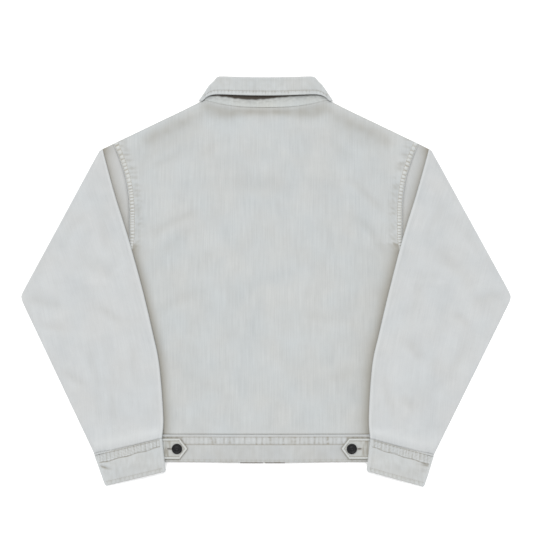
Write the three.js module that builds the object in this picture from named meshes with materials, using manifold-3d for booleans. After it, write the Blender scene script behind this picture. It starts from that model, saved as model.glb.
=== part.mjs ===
// A boxy zip jacket in washed pale grey fine-wale corduroy, laid face down and flat, so its back shows.
// The fronts lie on the surface, the back lies on them, and both sleeves are swung in over the back,
// each with a pleat from the shoulder tip to the underarm where its fold crosses the armhole.
// Millimetres: X across the jacket, Y from hem to collar, Z up from the surface it lies on.
import * as THREE from 'three';
import Module from 'manifold-3d';
import { mergeVertices } from 'three/addons/utils/BufferGeometryUtils.js';

const PLY = 1.5; // one layer of corduroy
const DOUBLE = 2.0; // collar, cuffs, waistband and tabs, two layers sewn together
const SEAM = 0.3; // space between two pieces at a seam
const AIR = 0.5; // space between the layers of one piece that lie on each other
const REST = 1.0; // space between a sleeve and the body it lies on

const MIDDLE = -1.0; // centre line of the body and the collar
const FRONT_MIDDLE = -3.2; // the zip's centre line, as the fronts lie
const FRONT_GAP = 2.4; // from the zip's centre line to each front edge

const SHOULDER_TIP = { out: 252.3, y: 226.4 };
const NECK_POINT = { out: 110.2, y: 294.2 };
const UNDERARM = { out: 272.5, y: -5.0 };
const WAIST = { out: 239.0, y: -253.2 };
const HEM_Y = -299.4;
const BACK_NECK_Y = 285.6; // neck seam at the centre back
const FRONT_NECK_Y = 212.0; // neck seam at the centre front
const NECK_OUT = 106.0; // half width of the neck seam

const LEAF_LIFT = 3.0; // the fronts lie on the collar's leaves near the neck
const WAISTBAND_TOP = 4.9; // top of the waistband under the tabs
const TAB_TOP = WAISTBAND_TOP + SEAM + DOUBLE;

const CORD = 0xcfd2d2;
const BAND_CORD = 0xc8cac9;
const BUTTON_BLACK = 0x313133;
const TAPE_BROWN = 0x6d5f50;
const BRASS = 0x8a7a5c;

const clamp01 = (t) => Math.min(1, Math.max(0, t));
const smooth = (t) => clamp01(t) ** 2 * (3 - 2 * clamp01(t));
const mix = (a, b, t) => a + (b - a) * t;
const mixPoints = (p, q, t) => p.map((value, i) => mix(value, q[i], t));
const bump = (value, centre, width) => Math.exp(-(((value - centre) / width) ** 2));

// Smooth curve through rows of numbers, t from 0 at the first row to 1 at the last.
function curveThrough(rows) {
  const points = rows.map(([x, y]) => new THREE.Vector3(x, y, 0));
  const curve = new THREE.CatmullRomCurve3(points, false, 'catmullrom', 0.5);
  return (t) => {
    const p = curve.getPoint(clamp01(t));
    return [p.x, p.y];
  };
}

// Where a curve that runs down the jacket comes to height y.
function pointAt(curve, y) {
  let [low, high] = [0, 1];
  for (let i = 0; i < 24; i++) {
    const t = (low + high) / 2;
    if (curve(t)[1] > y) low = t;
    else high = t;
  }
  return curve(high);
}

// Cloth of even thickness round a grid of middle points, [row][column].
// From row closedFrom on, the first and last columns are one seam.
function cloth(name, middle, thickness, colour, closedFrom = Infinity) {
  const rows = middle.length;
  const columns = middle[0].length;
  const last = columns - 1;
  const at = (r, c) => new THREE.Vector3(...middle[r][c]);
  const normalAt = (r, c) => {
    const closed = r >= closedFrom;
    const before = closed && c === 0 ? last - 1 : Math.max(c - 1, 0);
    const after = closed && c === last ? 1 : Math.min(c + 1, last);
    const across = at(r, after).sub(at(r, before)).normalize();
    const along = at(Math.min(r + 1, rows - 1), c).sub(at(Math.max(r - 1, 0), c));
    return across.cross(along).normalize();
  };
  const positions = [];
  for (const sign of [0.5, -0.5]) {
    for (let r = 0; r < rows; r++) {
      for (let c = 0; c < columns; c++) {
        const p = at(r, c).addScaledVector(normalAt(r, c), sign * thickness);
        positions.push(p.x, p.y, p.z);
      }
    }
  }
  const id = (face, r, c) => {
    const column = r >= closedFrom && c === last ? 0 : c;
    return face * rows * columns + r * columns + column;
  };
  const index = [];
  const quad = (a, b, c, d) => index.push(a, b, c, a, c, d);
  for (let r = 0; r < rows - 1; r++) {
    for (let c = 0; c < last; c++) {
      quad(id(0, r, c), id(0, r, c + 1), id(0, r + 1, c + 1), id(0, r + 1, c));
      quad(id(1, r, c), id(1, r + 1, c), id(1, r + 1, c + 1), id(1, r, c + 1));
    }
    if (r < closedFrom) {
      quad(id(0, r, 0), id(0, r + 1, 0), id(1, r + 1, 0), id(1, r, 0));
      quad(id(0, r, last), id(1, r, last), id(1, r + 1, last), id(0, r + 1, last));
    }
  }
  for (let c = 0; c < last; c++) {
    quad(id(0, 0, c), id(1, 0, c), id(1, 0, c + 1), id(0, 0, c + 1));
    const end = rows - 1;
    quad(id(0, end, c), id(0, end, c + 1), id(1, end, c + 1), id(1, end, c));
  }
  const geometry = new THREE.BufferGeometry();
  geometry.setAttribute('position', new THREE.Float32BufferAttribute(positions, 3));
  geometry.setIndex(index);
  return faceOut(named(name, geometry, colour));
}

function named(name, geometry, colour, roughness = 0.95, metalness = 0) {
  const material = new THREE.MeshStandardMaterial({ color: colour, roughness, metalness });
  const mesh = new THREE.Mesh(geometry, material);
  mesh.name = name;
  return mesh;
}

// Turns every face round if the closed mesh is inside out.
function faceOut(mesh) {
  const position = mesh.geometry.getAttribute('position');
  const index = mesh.geometry.getIndex();
  const corner = (i) => new THREE.Vector3().fromBufferAttribute(position, index.getX(i));
  let volume = 0;
  for (let i = 0; i < index.count; i += 3) {
    volume += corner(i).dot(corner(i + 1).cross(corner(i + 2)));
  }
  if (volume < 0) index.array.reverse();
  return mesh;
}

// A patch between four edges that share their corners, each edge a function of 0 to 1.
function patch(top, bottom, left, right) {
  const corner = { tl: top(0), tr: top(1), bl: bottom(0), br: bottom(1) };
  return (u, v) => [0, 1].map((i) => {
    const between = mix(top(u)[i], bottom(u)[i], v) + mix(left(v)[i], right(v)[i], u);
    const upper = mix(corner.tl[i], corner.tr[i], u);
    return between - mix(upper, mix(corner.bl[i], corner.br[i], u), v);
  });
}

const steps = (count) => Array.from({ length: count + 1 }, (_, i) => i / count);

// Body edges, as distances out from the middle.
const armhole = curveThrough([
  [SHOULDER_TIP.out, SHOULDER_TIP.y], [241.5, 200.0], [231.6, 168.0], [226.3, 132.0],
  [225.4, 96.0], [227.0, 62.0], [240.0, 27.0], [UNDERARM.out, UNDERARM.y],
]);
const frontArmhole = curveThrough([
  [SHOULDER_TIP.out, SHOULDER_TIP.y], [239.0, 200.0], [226.0, 168.0], [219.0, 132.0],
  [217.5, 96.0], [221.0, 62.0], [237.0, 27.0], [UNDERARM.out, UNDERARM.y],
]);
const ARMHOLE_SHARE = 0.48; // how far down the body's side edge the underarm comes
// Rows down the armhole, shared by the panels and the sleeves.
const ARMHOLE_STEPS = [0, 0.09, 0.19, 0.3, 0.43, 0.56, 0.69, 0.8, 0.89, 0.955];
const underarmPoint = [UNDERARM.out, UNDERARM.y];
const waistPoint = [WAIST.out, WAIST.y];
const sideEdge = (hole) => (v) => (v < ARMHOLE_SHARE
  ? hole(v / ARMHOLE_SHARE)
  : mixPoints(underarmPoint, waistPoint, (v - ARMHOLE_SHARE) / (1 - ARMHOLE_SHARE)));

function halfWidth(y) {
  if (y < UNDERARM.y) {
    return mix(UNDERARM.out, WAIST.out, clamp01((UNDERARM.y - y) / (UNDERARM.y - WAIST.y)));
  }
  return pointAt(armhole, y)[0];
}

const backNeck = (out) => BACK_NECK_Y + 12 * (Math.abs(out) / 97) ** 2.5;
const shoulderSlope = (SHOULDER_TIP.y - NECK_POINT.y) / (SHOULDER_TIP.out - NECK_POINT.out);
const shoulderLine = (out) => NECK_POINT.y + shoulderSlope * (Math.abs(out) - NECK_POINT.out);
const topEdge = (out) => Math.min(backNeck(out), shoulderLine(out));

// How far the fronts are lifted by the collar's leaves under them.
function lift(x, y) {
  return LEAF_LIFT * smooth((y - 146) / 32) * (1 - smooth((Math.abs(x - MIDDLE) - 104) / 40));
}

// Height of the back's outer face: low at its edges, with soft hollows under neck and shoulders.
function backTop(x, y) {
  const out = Math.abs(x - MIDDLE);
  const fromSide = Math.max(0, halfWidth(y) - out);
  const fromTop = Math.max(0, topEdge(out) - y);
  const fromWaist = Math.max(0, y - WAIST.y);
  const full = 1.6 * smooth(fromSide / 12) + 1.5 * smooth(fromSide / 190);
  const neck = 3.0 * (1 - smooth((out - 78) / 45)) * (1 - smooth(fromTop / 115));
  const trough = -0.8 * bump(fromTop, 15, 8) * (1 - smooth((out - 80) / 30));
  const hollow = -0.9 * bump(out, 185, 38) * bump(y, 238, 26) * smooth(fromTop / 15);
  const wave = 0.5 * Math.sin(x / 31 + y / 150) * Math.sin(y / 74 + 1.1);
  const waves = wave * smooth(fromSide / 50) * smooth(fromTop / 60) * smooth(fromWaist / 50);
  return 2 * PLY + SEAM + lift(x, y) + full * smooth(fromTop / 18) + neck + trough + hollow + waves;
}

function waistbandTop(x) {
  return WAISTBAND_TOP + 1.4 * (1 - smooth((Math.abs(x - FRONT_MIDDLE) - 55) / 50));
}

function back() {
  const acrossTop = (u) => {
    const out = mix(-SHOULDER_TIP.out, SHOULDER_TIP.out, u);
    return [out, topEdge(out) - SEAM];
  };
  const acrossWaist = (u) => [mix(-WAIST.out, WAIST.out, u), WAIST.y];
  const right = sideEdge(armhole);
  const left = (v) => [-right(v)[0], right(v)[1]];
  const place = patch(acrossTop, acrossWaist, left, right);
  const across = [0, 0.02, 0.06, 0.12, 0.2, 0.285, 0.36, 0.43, 0.5];
  const u = [...across, ...across.slice(0, -1).reverse().map((value) => 1 - value)];
  const beside = ARMHOLE_STEPS.map((t) => t * ARMHOLE_SHARE);
  const v = [...beside, ARMHOLE_SHARE, 0.55, 0.63, 0.72, 0.81, 0.9, 0.96, 1];
  const rows = v.map((down) => u.map((along) => {
    const [out, y] = place(along, down);
    const x = MIDDLE + out;
    const meet = smooth((down - 0.9) / 0.1) * smooth((halfWidth(y) - Math.abs(out)) / 30);
    const top = mix(backTop(x, y), waistbandTop(x), meet);
    return [x, y, top - PLY / 2];
  }));
  return cloth('back', rows, PLY, CORD);
}

const frontNeck = (turn) => [NECK_OUT * Math.cos(turn), mix(NECK_POINT.y, FRONT_NECK_Y, Math.sin(turn))];

function front(name, side) {
  const middleOut = FRONT_GAP + side * (FRONT_MIDDLE - MIDDLE);
  const NECK_SHARE = 0.55; // how far along the top edge the neck point comes
  const neckCorner = [NECK_OUT, NECK_POINT.y - 1];
  const acrossTop = (u) => {
    if (u < NECK_SHARE) {
      return mixPoints([SHOULDER_TIP.out, SHOULDER_TIP.y - SEAM], neckCorner, u / NECK_SHARE);
    }
    const [out, y] = frontNeck(((u - NECK_SHARE) / (1 - NECK_SHARE)) * (Math.PI / 2));
    return [Math.max(out, middleOut), y - 1];
  };
  const acrossWaist = (u) => [mix(WAIST.out, middleOut, u), WAIST.y];
  const middleEdge = (v) => [middleOut, mix(FRONT_NECK_Y - 1, WAIST.y, v)];
  const place = patch(acrossTop, acrossWaist, sideEdge(frontArmhole), middleEdge);
  const u = [0, 0.08, 0.22, 0.38, 0.55, 0.66, 0.77, 0.88, 1];
  const v = [...ARMHOLE_STEPS.map((t) => t * ARMHOLE_SHARE), ARMHOLE_SHARE, 0.6, 0.75, 0.9, 1];
  const rows = v.map((down) => u.map((along) => {
    const [out, y] = place(along, down);
    const x = MIDDLE + side * out;
    return [x, y, PLY / 2 + lift(x, y)];
  }));
  return cloth(name, rows, PLY, CORD);
}

// One sleeve as it lies: distance out of its inner fold and of its outer edge, from shoulder to cuff.
const SLEEVES = {
  left: {
    side: -1,
    fold: [[270.4, 217.5], [250.6, 144.4], [227.5, 70.1], [205.4, -9.1], [187.3, -85.0],
      [176.4, -139.4], [169.8, -221.9], [171.6, -259.0]],
    elbow: [404.6, -26.5], crown: [275.4, 213.7], wrist: [283.9, -283.6],
    hem: { inner: [166.0, -312.4], outer: [264.6, -336.6] },
  },
  right: {
    side: 1,
    fold: [[269.9, 217.5], [249.3, 144.4], [226.5, 70.1], [205.6, -9.1], [187.6, -85.0],
      [175.9, -139.4], [170.3, -221.9], [172.2, -259.8]],
    elbow: [405.2, -26.5], crown: [274.1, 213.7], wrist: [277.5, -286.0],
    hem: { inner: [166.9, -311.6], outer: [260.4, -338.2] },
  },
};
const UNDERARM_AT = 0.46; // the underarm's place along the sleeve, 0 at the shoulder and 1 at the cuff seam
const UNDERARM_HEIGHT = 1.7; // where front, back and sleeve meet
const PLEAT_OUT = 273.6; // the pleat's hidden fold, from the shoulder tip to the underarm
const ROUND_TURN = 0.3; // spare height where the sleeve turns over at its inner fold
const EDGE_TURN = 0.6; // spare height where it turns over at its outer edge
const STRIP_AIR = 0.1; // spare height under the strip between the armhole seam and the pleat
const CROWN_EDGE = 1; // the sleeve's top row stops this far inside its outer edge

// Top of whatever lies under a sleeve at a place, spread past its edges so that the sleeve falls off softly.
const DRAPE = { plateau: 9, fall: 30 };
const fallOff = (outside) => 1 - smooth((outside - DRAPE.plateau) / DRAPE.fall);
const TAB = { tip: 128.5, shoulder: 141.0, base: 213.0, half: 16.9, y: -277.0 };

function bodyUnder(out, y) {
  const inside = Math.min(out, halfWidth(y) - 1);
  const heldY = Math.max(y, WAIST.y);
  const panel = backTop(MIDDLE + inside, heldY) * fallOff(out - halfWidth(y));
  if (y > WAIST.y + 12) return panel;
  const low = HEM_Y - y;
  const band = WAISTBAND_TOP * fallOff(out - WAIST.out) * fallOff(low);
  const beyondTab = Math.max(Math.abs(y - TAB.y) - TAB.half, out - TAB.base);
  const tab = (TAB_TOP - WAISTBAND_TOP) * (1 - smooth((beyondTab - 5) / 14)) * fallOff(out - WAIST.out);
  const seat = Math.max(y < WAIST.y ? 0 : panel, band);
  return seat + tab;
}

const COUNT = { strip: 3, hidden: 3, under: 4, fold: 4, top: 7, edge: 3, floor: 7 };

function sleeveLines(sleeve) {
  const foldEdge = curveThrough(sleeve.fold);
  const wristY = sleeve.fold.at(-1)[1];
  const fold = (s) => pointAt(foldEdge, s < UNDERARM_AT
    ? armhole(s / UNDERARM_AT)[1]
    : mix(UNDERARM.y, wristY, (s - UNDERARM_AT) / (1 - UNDERARM_AT)));
  const outerEdge = (s) => (s < 0.5
    ? mixPoints(sleeve.crown, sleeve.elbow, s * 2)
    : mixPoints(sleeve.elbow, sleeve.wrist, s * 2 - 1));
  return { fold, outerEdge };
}

// Half a turn of cloth from one height to another; lean is +1 where it bulges out, -1 where it bulges in.
function halfTurn(tip, from, to, lean, count) {
  const radius = Math.abs(to - from) / 2;
  return steps(count).map((t) => {
    const angle = Math.PI * (t - 0.5);
    const height = (from + to) / 2 + Math.sin(angle) * ((to - from) / 2);
    return { reach: tip - lean * radius * (1 - Math.cos(angle)), height };
  });
}

// A straight section across the sleeve, measured out from its inner fold.
function sectionBetween(start, end, s, thickness) {
  const width = Math.hypot(end[0] - start[0], end[1] - start[1]);
  const out = [(end[0] - start[0]) / width, (end[1] - start[1]) / width];
  const place = (reach) => [start[0] + out[0] * reach, start[1] + out[1] * reach];
  return { width, place, s, thickness };
}

function sleeveSection(lines, s) {
  return sectionBetween(lines.fold(s), lines.outerEdge(s), s, PLY);
}

// Middle line of the sleeve's cloth round one section: from the armhole or underarm seam over the pleat
// to the inner fold, across the top layer, round the outer edge and back along the lower layer.
function ring(section, fullness) {
  const { width, place, s, thickness } = section;
  const half = thickness / 2;
  const layer = thickness + AIR;
  const pleated = s > 0 && s < UNDERARM_AT - 1e-6;
  const down = clamp01(s / UNDERARM_AT);
  const backSeam = armhole(down);
  const frontSeam = frontArmhole(down);
  const settle = smooth(s / 0.06);
  const puff = fullness * settle;
  const floor = (reach) => {
    if (s < UNDERARM_AT) return half;
    const [outward, y] = place(reach);
    return half + bodyUnder(outward, y) + REST * fallOff(outward - halfWidth(y));
  };
  const pleatAt = PLEAT_OUT - place(0)[0];
  const stripHeight = half + PLY + SEAM + STRIP_AIR;
  const underHeight = (reach) => {
    const [outward, y] = place(reach);
    const onBack = smooth((armhole(down)[0] + 6 - outward) / 12);
    const seat = mix(stripHeight + half, backTop(MIDDLE + outward, y), onBack);
    return seat + mix(AIR, REST, onBack) + half;
  };
  const loft = (reach) => puff * Math.sin(Math.PI * clamp01(reach / width)) ** 0.8;
  const points = [];
  const push = (point, height) => points.push([point[0], point[1], height]);
  const run = (count, from, to, height, first = 0) => {
    for (let i = first; i <= count; i++) {
      const reach = mix(from, to, i / count);
      push(place(reach), height(reach));
    }
  };
  const topHeight = (reach) => {
    if (!pleated) return floor(reach) + layer + loft(reach);
    const overPleat = underHeight(Math.min(reach, pleatAt)) + layer;
    const overFloor = half + layer + loft(reach);
    return mix(overPleat, overFloor, smooth((reach - pleatAt + 4) / 26)) + 0.35 * loft(reach);
  };
  const edgeLow = s < UNDERARM_AT + 1e-6 ? half : floor(width);
  const edgeTop = edgeLow + mix(PLY + SEAM, layer + EDGE_TURN, settle);
  const edgeRadius = (edgeTop - edgeLow) / 2;
  const foldLow = pleated ? underHeight(2) : floor(1.5);
  const foldHigh = foldLow + layer + ROUND_TURN;
  const foldRadius = (foldHigh - foldLow) / 2;
  if (pleated) {
    const pleatRadius = (underHeight(pleatAt) - stripHeight) / 2;
    const turnAt = pleatAt - pleatRadius;
    const seamEnd = [backSeam[0] + 1.2 * SEAM, backSeam[1] - SEAM * (1 - down)];
    const seamHeight = backTop(MIDDLE + backSeam[0], backSeam[1]) - half;
    for (const t of steps(COUNT.strip)) {
      push(mixPoints(seamEnd, place(turnAt), t), mix(seamHeight, stripHeight, smooth(t * 1.5)));
    }
    for (const turn of halfTurn(pleatAt, stripHeight, underHeight(pleatAt), 1, COUNT.hidden).slice(1)) {
      push(place(turn.reach), turn.height);
    }
    run(COUNT.under, turnAt, foldRadius, underHeight, 1);
  } else if (s === 0) {
    const total = COUNT.strip + COUNT.hidden + COUNT.under;
    const crownTop = half + PLY + SEAM;
    for (let i = 0; i <= total + COUNT.fold; i++) {
      push(mixPoints(backSeam, place(0), i / (total + COUNT.fold)), crownTop);
    }
    run(COUNT.top, 0, width - CROWN_EDGE, () => crownTop, 1);
    for (const t of steps(COUNT.edge).slice(1)) push(place(width - CROWN_EDGE), mix(crownTop, half, t));
  } else if (s < UNDERARM_AT + 1e-6) {
    const edge = UNDERARM.out + 4 - place(0)[0];
    const edgeHeight = floor(edge) + 0.2;
    for (const t of steps(COUNT.strip + COUNT.hidden)) {
      const height = mix(UNDERARM_HEIGHT, edgeHeight, smooth(t));
      push(place(mix(seamReach(section), edge, t)), height);
    }
    run(COUNT.under, edge, foldRadius, floor, 1);
  } else {
    const seam = seamReach(section);
    run(COUNT.strip + COUNT.hidden + COUNT.under, seam, foldRadius, floor);
  }
  if (s > 0) {
    for (const turn of halfTurn(0, foldLow, foldHigh, -1, COUNT.fold).slice(1)) {
      push(place(turn.reach), turn.height);
    }
    for (const t of steps(COUNT.top).slice(1)) {
      const crowded = 0.5 - 0.5 * Math.cos(Math.PI * t);
      const reach = mix(foldRadius, width - edgeRadius, mix(t, crowded, 0.5));
      const ease = smooth((reach - foldRadius) / 8);
      const easeOut = t === 1 ? 0 : Math.max(smooth((width - edgeRadius - reach) / 14), 0.15);
      push(place(reach), mix(edgeTop, mix(foldHigh, topHeight(reach), ease), easeOut));
    }
    for (const turn of halfTurn(width, edgeTop, edgeLow, 1, COUNT.edge).slice(1)) {
      push(place(turn.reach), turn.height);
    }
  }
  const from = s === 0 ? width - CROWN_EDGE : width - edgeRadius;
  for (const t of steps(COUNT.floor).slice(1)) {
    if (s < UNDERARM_AT - 1e-6) {
      const goal = [frontSeam[0] + SEAM, frontSeam[1]];
      push(mixPoints(place(from), goal, t), half);
    } else {
      const reach = mix(from, seamReach(section), t);
      const low = mix(half, UNDERARM_HEIGHT, smooth(t * 3 - 2));
      push(place(reach), s < UNDERARM_AT + 1e-6 ? low : floor(reach));
    }
  }
  return points;
}

// Where the underarm seam lies on the sleeve's lower layer below the underarm.
function seamReach({ s, place, width }) {
  const underarm = UNDERARM.out + 10 - place(0)[0];
  return mix(underarm, width * 0.3, smooth((s - UNDERARM_AT) / (1 - UNDERARM_AT)));
}

function sleeve(name, shape) {
  const lines = sleeveLines(shape);
  const stations = [...ARMHOLE_STEPS.map((t) => t * UNDERARM_AT), UNDERARM_AT, 0.48, 0.5, 0.52,
    0.56, 0.61, 0.67, 0.73, 0.79, 0.85, 0.91, 0.96, 1];
  const rows = stations.map((s) => {
    const fullness = 2.2 + 0.5 * Math.sin(s * 9 + 1);
    const points = ring(sleeveSection(lines, s), fullness);
    return points.map(([out, y, z]) => [MIDDLE + shape.side * out, y, z]);
  });
  return cloth(name, rows, PLY, CORD, stations.indexOf(UNDERARM_AT));
}

// Cuff: a doubled band round the end of the sleeve, from just past its seam to its hem.
const CUFF = { gap: 1.6, fullAtSeam: 2.2, fullAtHem: 1.2 };

function cuff(name, shape) {
  const end = sleeveSection(sleeveLines(shape), 1);
  const below = ([out, y]) => [out, y - CUFF.gap];
  const rows = [0, 0.12, 0.26, 0.36, 0.68, 1].map((t) => {
    const start = mixPoints(end.place(0), shape.hem.inner, t);
    const finish = mixPoints(end.place(end.width), shape.hem.outer, t);
    const section = sectionBetween(below(start), below(finish), 1, DOUBLE);
    const points = ring(section, mix(CUFF.fullAtSeam, CUFF.fullAtHem, t));
    return points.map(([out, y, z]) => [MIDDLE + shape.side * out, y, z]);
  });
  return cloth(name, rows, DOUBLE, BAND_CORD, 0);
}

// Waistband: one long strip from front edge to front edge, folded round the sides of the body.
const BAND_DROP = WAIST.y - HEM_Y;

function waistband() {
  const low = DOUBLE / 2;
  const sideTop = WAISTBAND_TOP - DOUBLE / 2;
  const radius = (sideTop - low) / 2;
  const turnAt = WAIST.out - radius;
  const lowX = [0, 0.25, 0.5, 0.75, 1];
  const path = [];
  for (const t of lowX) path.push([mix(FRONT_MIDDLE - FRONT_GAP, MIDDLE - turnAt, t), low]);
  const leftTurn = halfTurn(WAIST.out, low, sideTop, 1, 4).slice(1);
  for (const turn of leftTurn) path.push([MIDDLE - turn.reach, turn.height]);
  const topX = steps(14).slice(1, -1);
  for (const t of topX) {
    const x = MIDDLE + mix(-turnAt, turnAt, t);
    path.push([x, waistbandTop(x) - DOUBLE / 2]);
  }
  path.push([MIDDLE + turnAt, sideTop]);
  for (const turn of leftTurn.slice().reverse().slice(1)) path.push([MIDDLE + turn.reach, turn.height]);
  for (const t of lowX.slice().reverse()) {
    path.push([mix(FRONT_MIDDLE + FRONT_GAP, MIDDLE + turnAt, t), low]);
  }
  const rows = [0, 0.1, 0.36, 0.6, 1].map((down) => path.map(([x, z]) => {
    const hemRise = 0.6 * Math.cos((x - MIDDLE) / 76);
    return [x, WAIST.y - SEAM - (BAND_DROP - SEAM + hemRise * down) * down, z];
  }));
  return cloth('waistband', rows, DOUBLE, BAND_CORD);
}

// Collar: a stand sewn to the neck and a fall turned down over it, laid flat round the neck.
const COLLAR = {
  rollOut: 80.0, rollY: 331.8, rollRadius: 1.8, rollSeam: 1.2, // where the stand turns over into the fall
  edgeOut: 111.0, edgeY: 299.0, // the fall's edge where it turns round the side of the neck
  backEdgeY: 306.5, // the fall's edge at the centre back
  frontRollY: 244.0, pointOut: 36.0, pointY: 178.0, // leaf end at the front: top and point
  standTop: 7.7, standSide: 6.7, standLow: 3.8, // middle heights of the stand: back, side, front
  fallTop: 12.0, fallSide: 9.6, fallLow: 1.0, // middle heights of the fall
};

// Both collar pieces run round the neck: back to side, a turn at the side, and the front to the zip.
function collarPath(backSteps, turnSteps, frontSteps) {
  const stops = [];
  for (let i = 0; i <= backSteps; i++) stops.push({ part: 'back', t: i / backSteps });
  for (let i = 1; i < turnSteps; i++) stops.push({ part: 'turn', t: i / turnSteps });
  for (let i = 0; i <= frontSteps; i++) stops.push({ part: 'front', t: i / frontSteps });
  return stops;
}

function collarPoint(stop, half, front, heights) {
  const { top, side, low } = heights;
  const radius = (side - low) / 2;
  const inset = half.out - radius;
  if (stop.part === 'back') return [inset * stop.t, half.y(stop.t), mix(top, side, stop.t ** 3)];
  if (stop.part === 'turn') {
    const angle = Math.PI * (0.5 - stop.t);
    const y = mix(half.y(1), front(0)[1], stop.t);
    return [inset + radius * Math.cos(angle), y, (side + low) / 2 + radius * Math.sin(angle)];
  }
  const [out, y] = front(stop.t);
  return [Math.max(FRONT_GAP + 1, Math.min(out, inset)), y, low];
}

function collar() {
  const c = COLLAR;
  const stops = collarPath(7, 4, 7);
  const stand = { top: c.standTop, side: c.standSide, low: c.standLow };
  const fall = { top: c.fallTop, side: c.fallSide, low: c.fallLow };
  const quarter = (out, from, to) => (t) => {
    const turn = (t * Math.PI) / 2;
    return [out * Math.cos(turn), mix(from, to, Math.sin(turn))];
  };
  const seam = (stop) => collarPoint(stop, { out: NECK_OUT - 2, y: (t) => backNeck(t * 97) + 1.2 },
    quarter(NECK_OUT - 2, 298.5, FRONT_NECK_Y + 1.2), stand);
  const rollY = (t) => c.rollY + 2.4 * t * t;
  const rollFor = (out, heights) => (stop) => collarPoint(stop, { out, y: rollY },
    quarter(out, rollY(1), c.frontRollY), heights);
  const standRoll = rollFor(c.rollOut - 3, stand);
  const fallRoll = rollFor(c.rollOut, fall);
  const fallEdge = (stop) => collarPoint(stop,
    { out: c.edgeOut, y: (t) => c.backEdgeY + 2.6 * t * t - 9.5 * t ** 8 },
    (t) => [mix(c.edgeOut, c.pointOut, t), mix(c.edgeY, c.pointY, t) - 5 * Math.sin(Math.PI * t)],
    { ...fall, top: c.fallTop + 0.6 });
  const both = (point) => [
    ...stops.slice(1).reverse().map(point).map(([x, y, z]) => [MIDDLE - x, y, z]),
    ...stops.map(point).map(([x, y, z]) => [MIDDLE + x, y, z]),
  ];
  const standRows = [0, 0.45, 1].map((h) => both((stop) => mixPoints(seam(stop), standRoll(stop), h)));
  const rollRows = steps(4).map((t) => both((stop) => {
    const [from, to, low] = [standRoll(stop), fallRoll(stop), seam(stop)];
    const angle = Math.PI * (t - 0.5);
    const rise = Math.hypot(from[0] - low[0], from[1] - low[1]);
    const reach = (c.rollRadius * Math.cos(angle) + c.rollSeam) / rise;
    const middle = mixPoints(from, to, 0.5 + 0.5 * Math.sin(angle));
    return [middle[0] + (from[0] - low[0]) * reach, middle[1] + (from[1] - low[1]) * reach, middle[2]];
  }));
  const fallRows = [0.12, 0.4, 0.7, 1].map((g) => (
    both((stop) => mixPoints(fallRoll(stop), fallEdge(stop), g))));
  return [
    cloth('collar_stand', standRows, DOUBLE, CORD),
    cloth('collar_fall', [...rollRows, ...fallRows], DOUBLE, CORD),
  ];
}

// Adjuster tab on the waistband, pointed toward the middle, with a keyhole slot under its button.
const BUTTON = { out: 145.2, radius: 8.6, thick: 3.0, shank: 1.6 };

function tab(name, side, tipOut) {
  const shift = tipOut - TAB.tip;
  const shape = new THREE.Shape();
  const corner = TAB.shoulder + shift;
  shape.moveTo(TAB.tip + shift, TAB.y);
  shape.lineTo(corner, TAB.y - TAB.half + 0.6);
  shape.quadraticCurveTo(corner + 1, TAB.y - TAB.half, corner + 2.5, TAB.y - TAB.half);
  shape.lineTo(TAB.base, TAB.y - TAB.half);
  shape.lineTo(TAB.base, TAB.y + TAB.half);
  shape.lineTo(corner + 2.5, TAB.y + TAB.half);
  shape.quadraticCurveTo(corner + 1, TAB.y + TAB.half, corner, TAB.y + TAB.half - 0.6);
  shape.closePath();
  const slot = new THREE.Path();
  const eye = BUTTON.out + shift;
  slot.absarc(eye, TAB.y, 2.4, 0.2, 2 * Math.PI - 0.2, false);
  slot.lineTo(eye + 18, TAB.y - 0.45);
  slot.lineTo(eye + 18, TAB.y + 0.45);
  slot.closePath();
  shape.holes.push(slot);
  const geometry = new THREE.ExtrudeGeometry(shape, { depth: DOUBLE, bevelEnabled: false, curveSegments: 6 });
  geometry.translate(0, 0, WAISTBAND_TOP + SEAM);
  if (side < 0) geometry.rotateY(Math.PI).translate(0, 0, 2 * (WAISTBAND_TOP + SEAM) + DOUBLE);
  const mesh = named(name, geometry, BAND_CORD);
  mesh.position.x = MIDDLE;
  return mesh;
}

function tabButton(name, side, tipOut) {
  const { radius, thick, shank } = BUTTON;
  const foot = WAISTBAND_TOP + SEAM;
  const under = TAB_TOP + SEAM;
  const top = under + thick;
  const profile = [
    [0, foot], [shank, foot], [shank, under], [radius - 1.2, under], [radius, under + 1.0],
    [radius - 0.4, top - 0.5], [radius - 1.4, top], [radius - 2.4, top - 0.8],
    [radius - 4.4, top - 0.6], [2.2, top - 0.8], [1.4, top - 0.1], [0, top],
  ];
  const geometry = new THREE.LatheGeometry(profile.map(([r, z]) => new THREE.Vector2(r, z)), 20);
  geometry.rotateX(Math.PI / 2);
  const mesh = named(name, geometry, BUTTON_BLACK, 0.45, 0.2);
  mesh.position.set(MIDDLE + side * (BUTTON.out + tipOut - TAB.tip), TAB.y, 0);
  return mesh;
}

// Zip: a tape inside each front edge, and a slider at the neck with a pull tab that swings on its bridge.
const ZIP = {
  tape: 14.0, tapeInner: 1.1, tapeThick: 0.7, tapeSeat: 0.5, endShort: 3.0, // a tape inside each front edge
  sliderY: 190.0, sliderLong: 12.0, sliderWide: 8.0, plate: 0.7, chainHigh: 3.4, neck: 1.6,
  bridgeWide: 1.4, postOut: 2.1, postLong: 0.7, postHigh: 1.6, bridgeLong: 4.9, bridgeThick: 0.5,
  pullLong: 25.0, pullWide: 6.0, pullThick: 0.64, pin: 0.64, eyeFar: 3.3, eyeSide: 1.4, // the pull tab
};
const ZIP_BRIDGE_Y = ZIP.sliderY + ZIP.sliderLong / 2;

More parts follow.
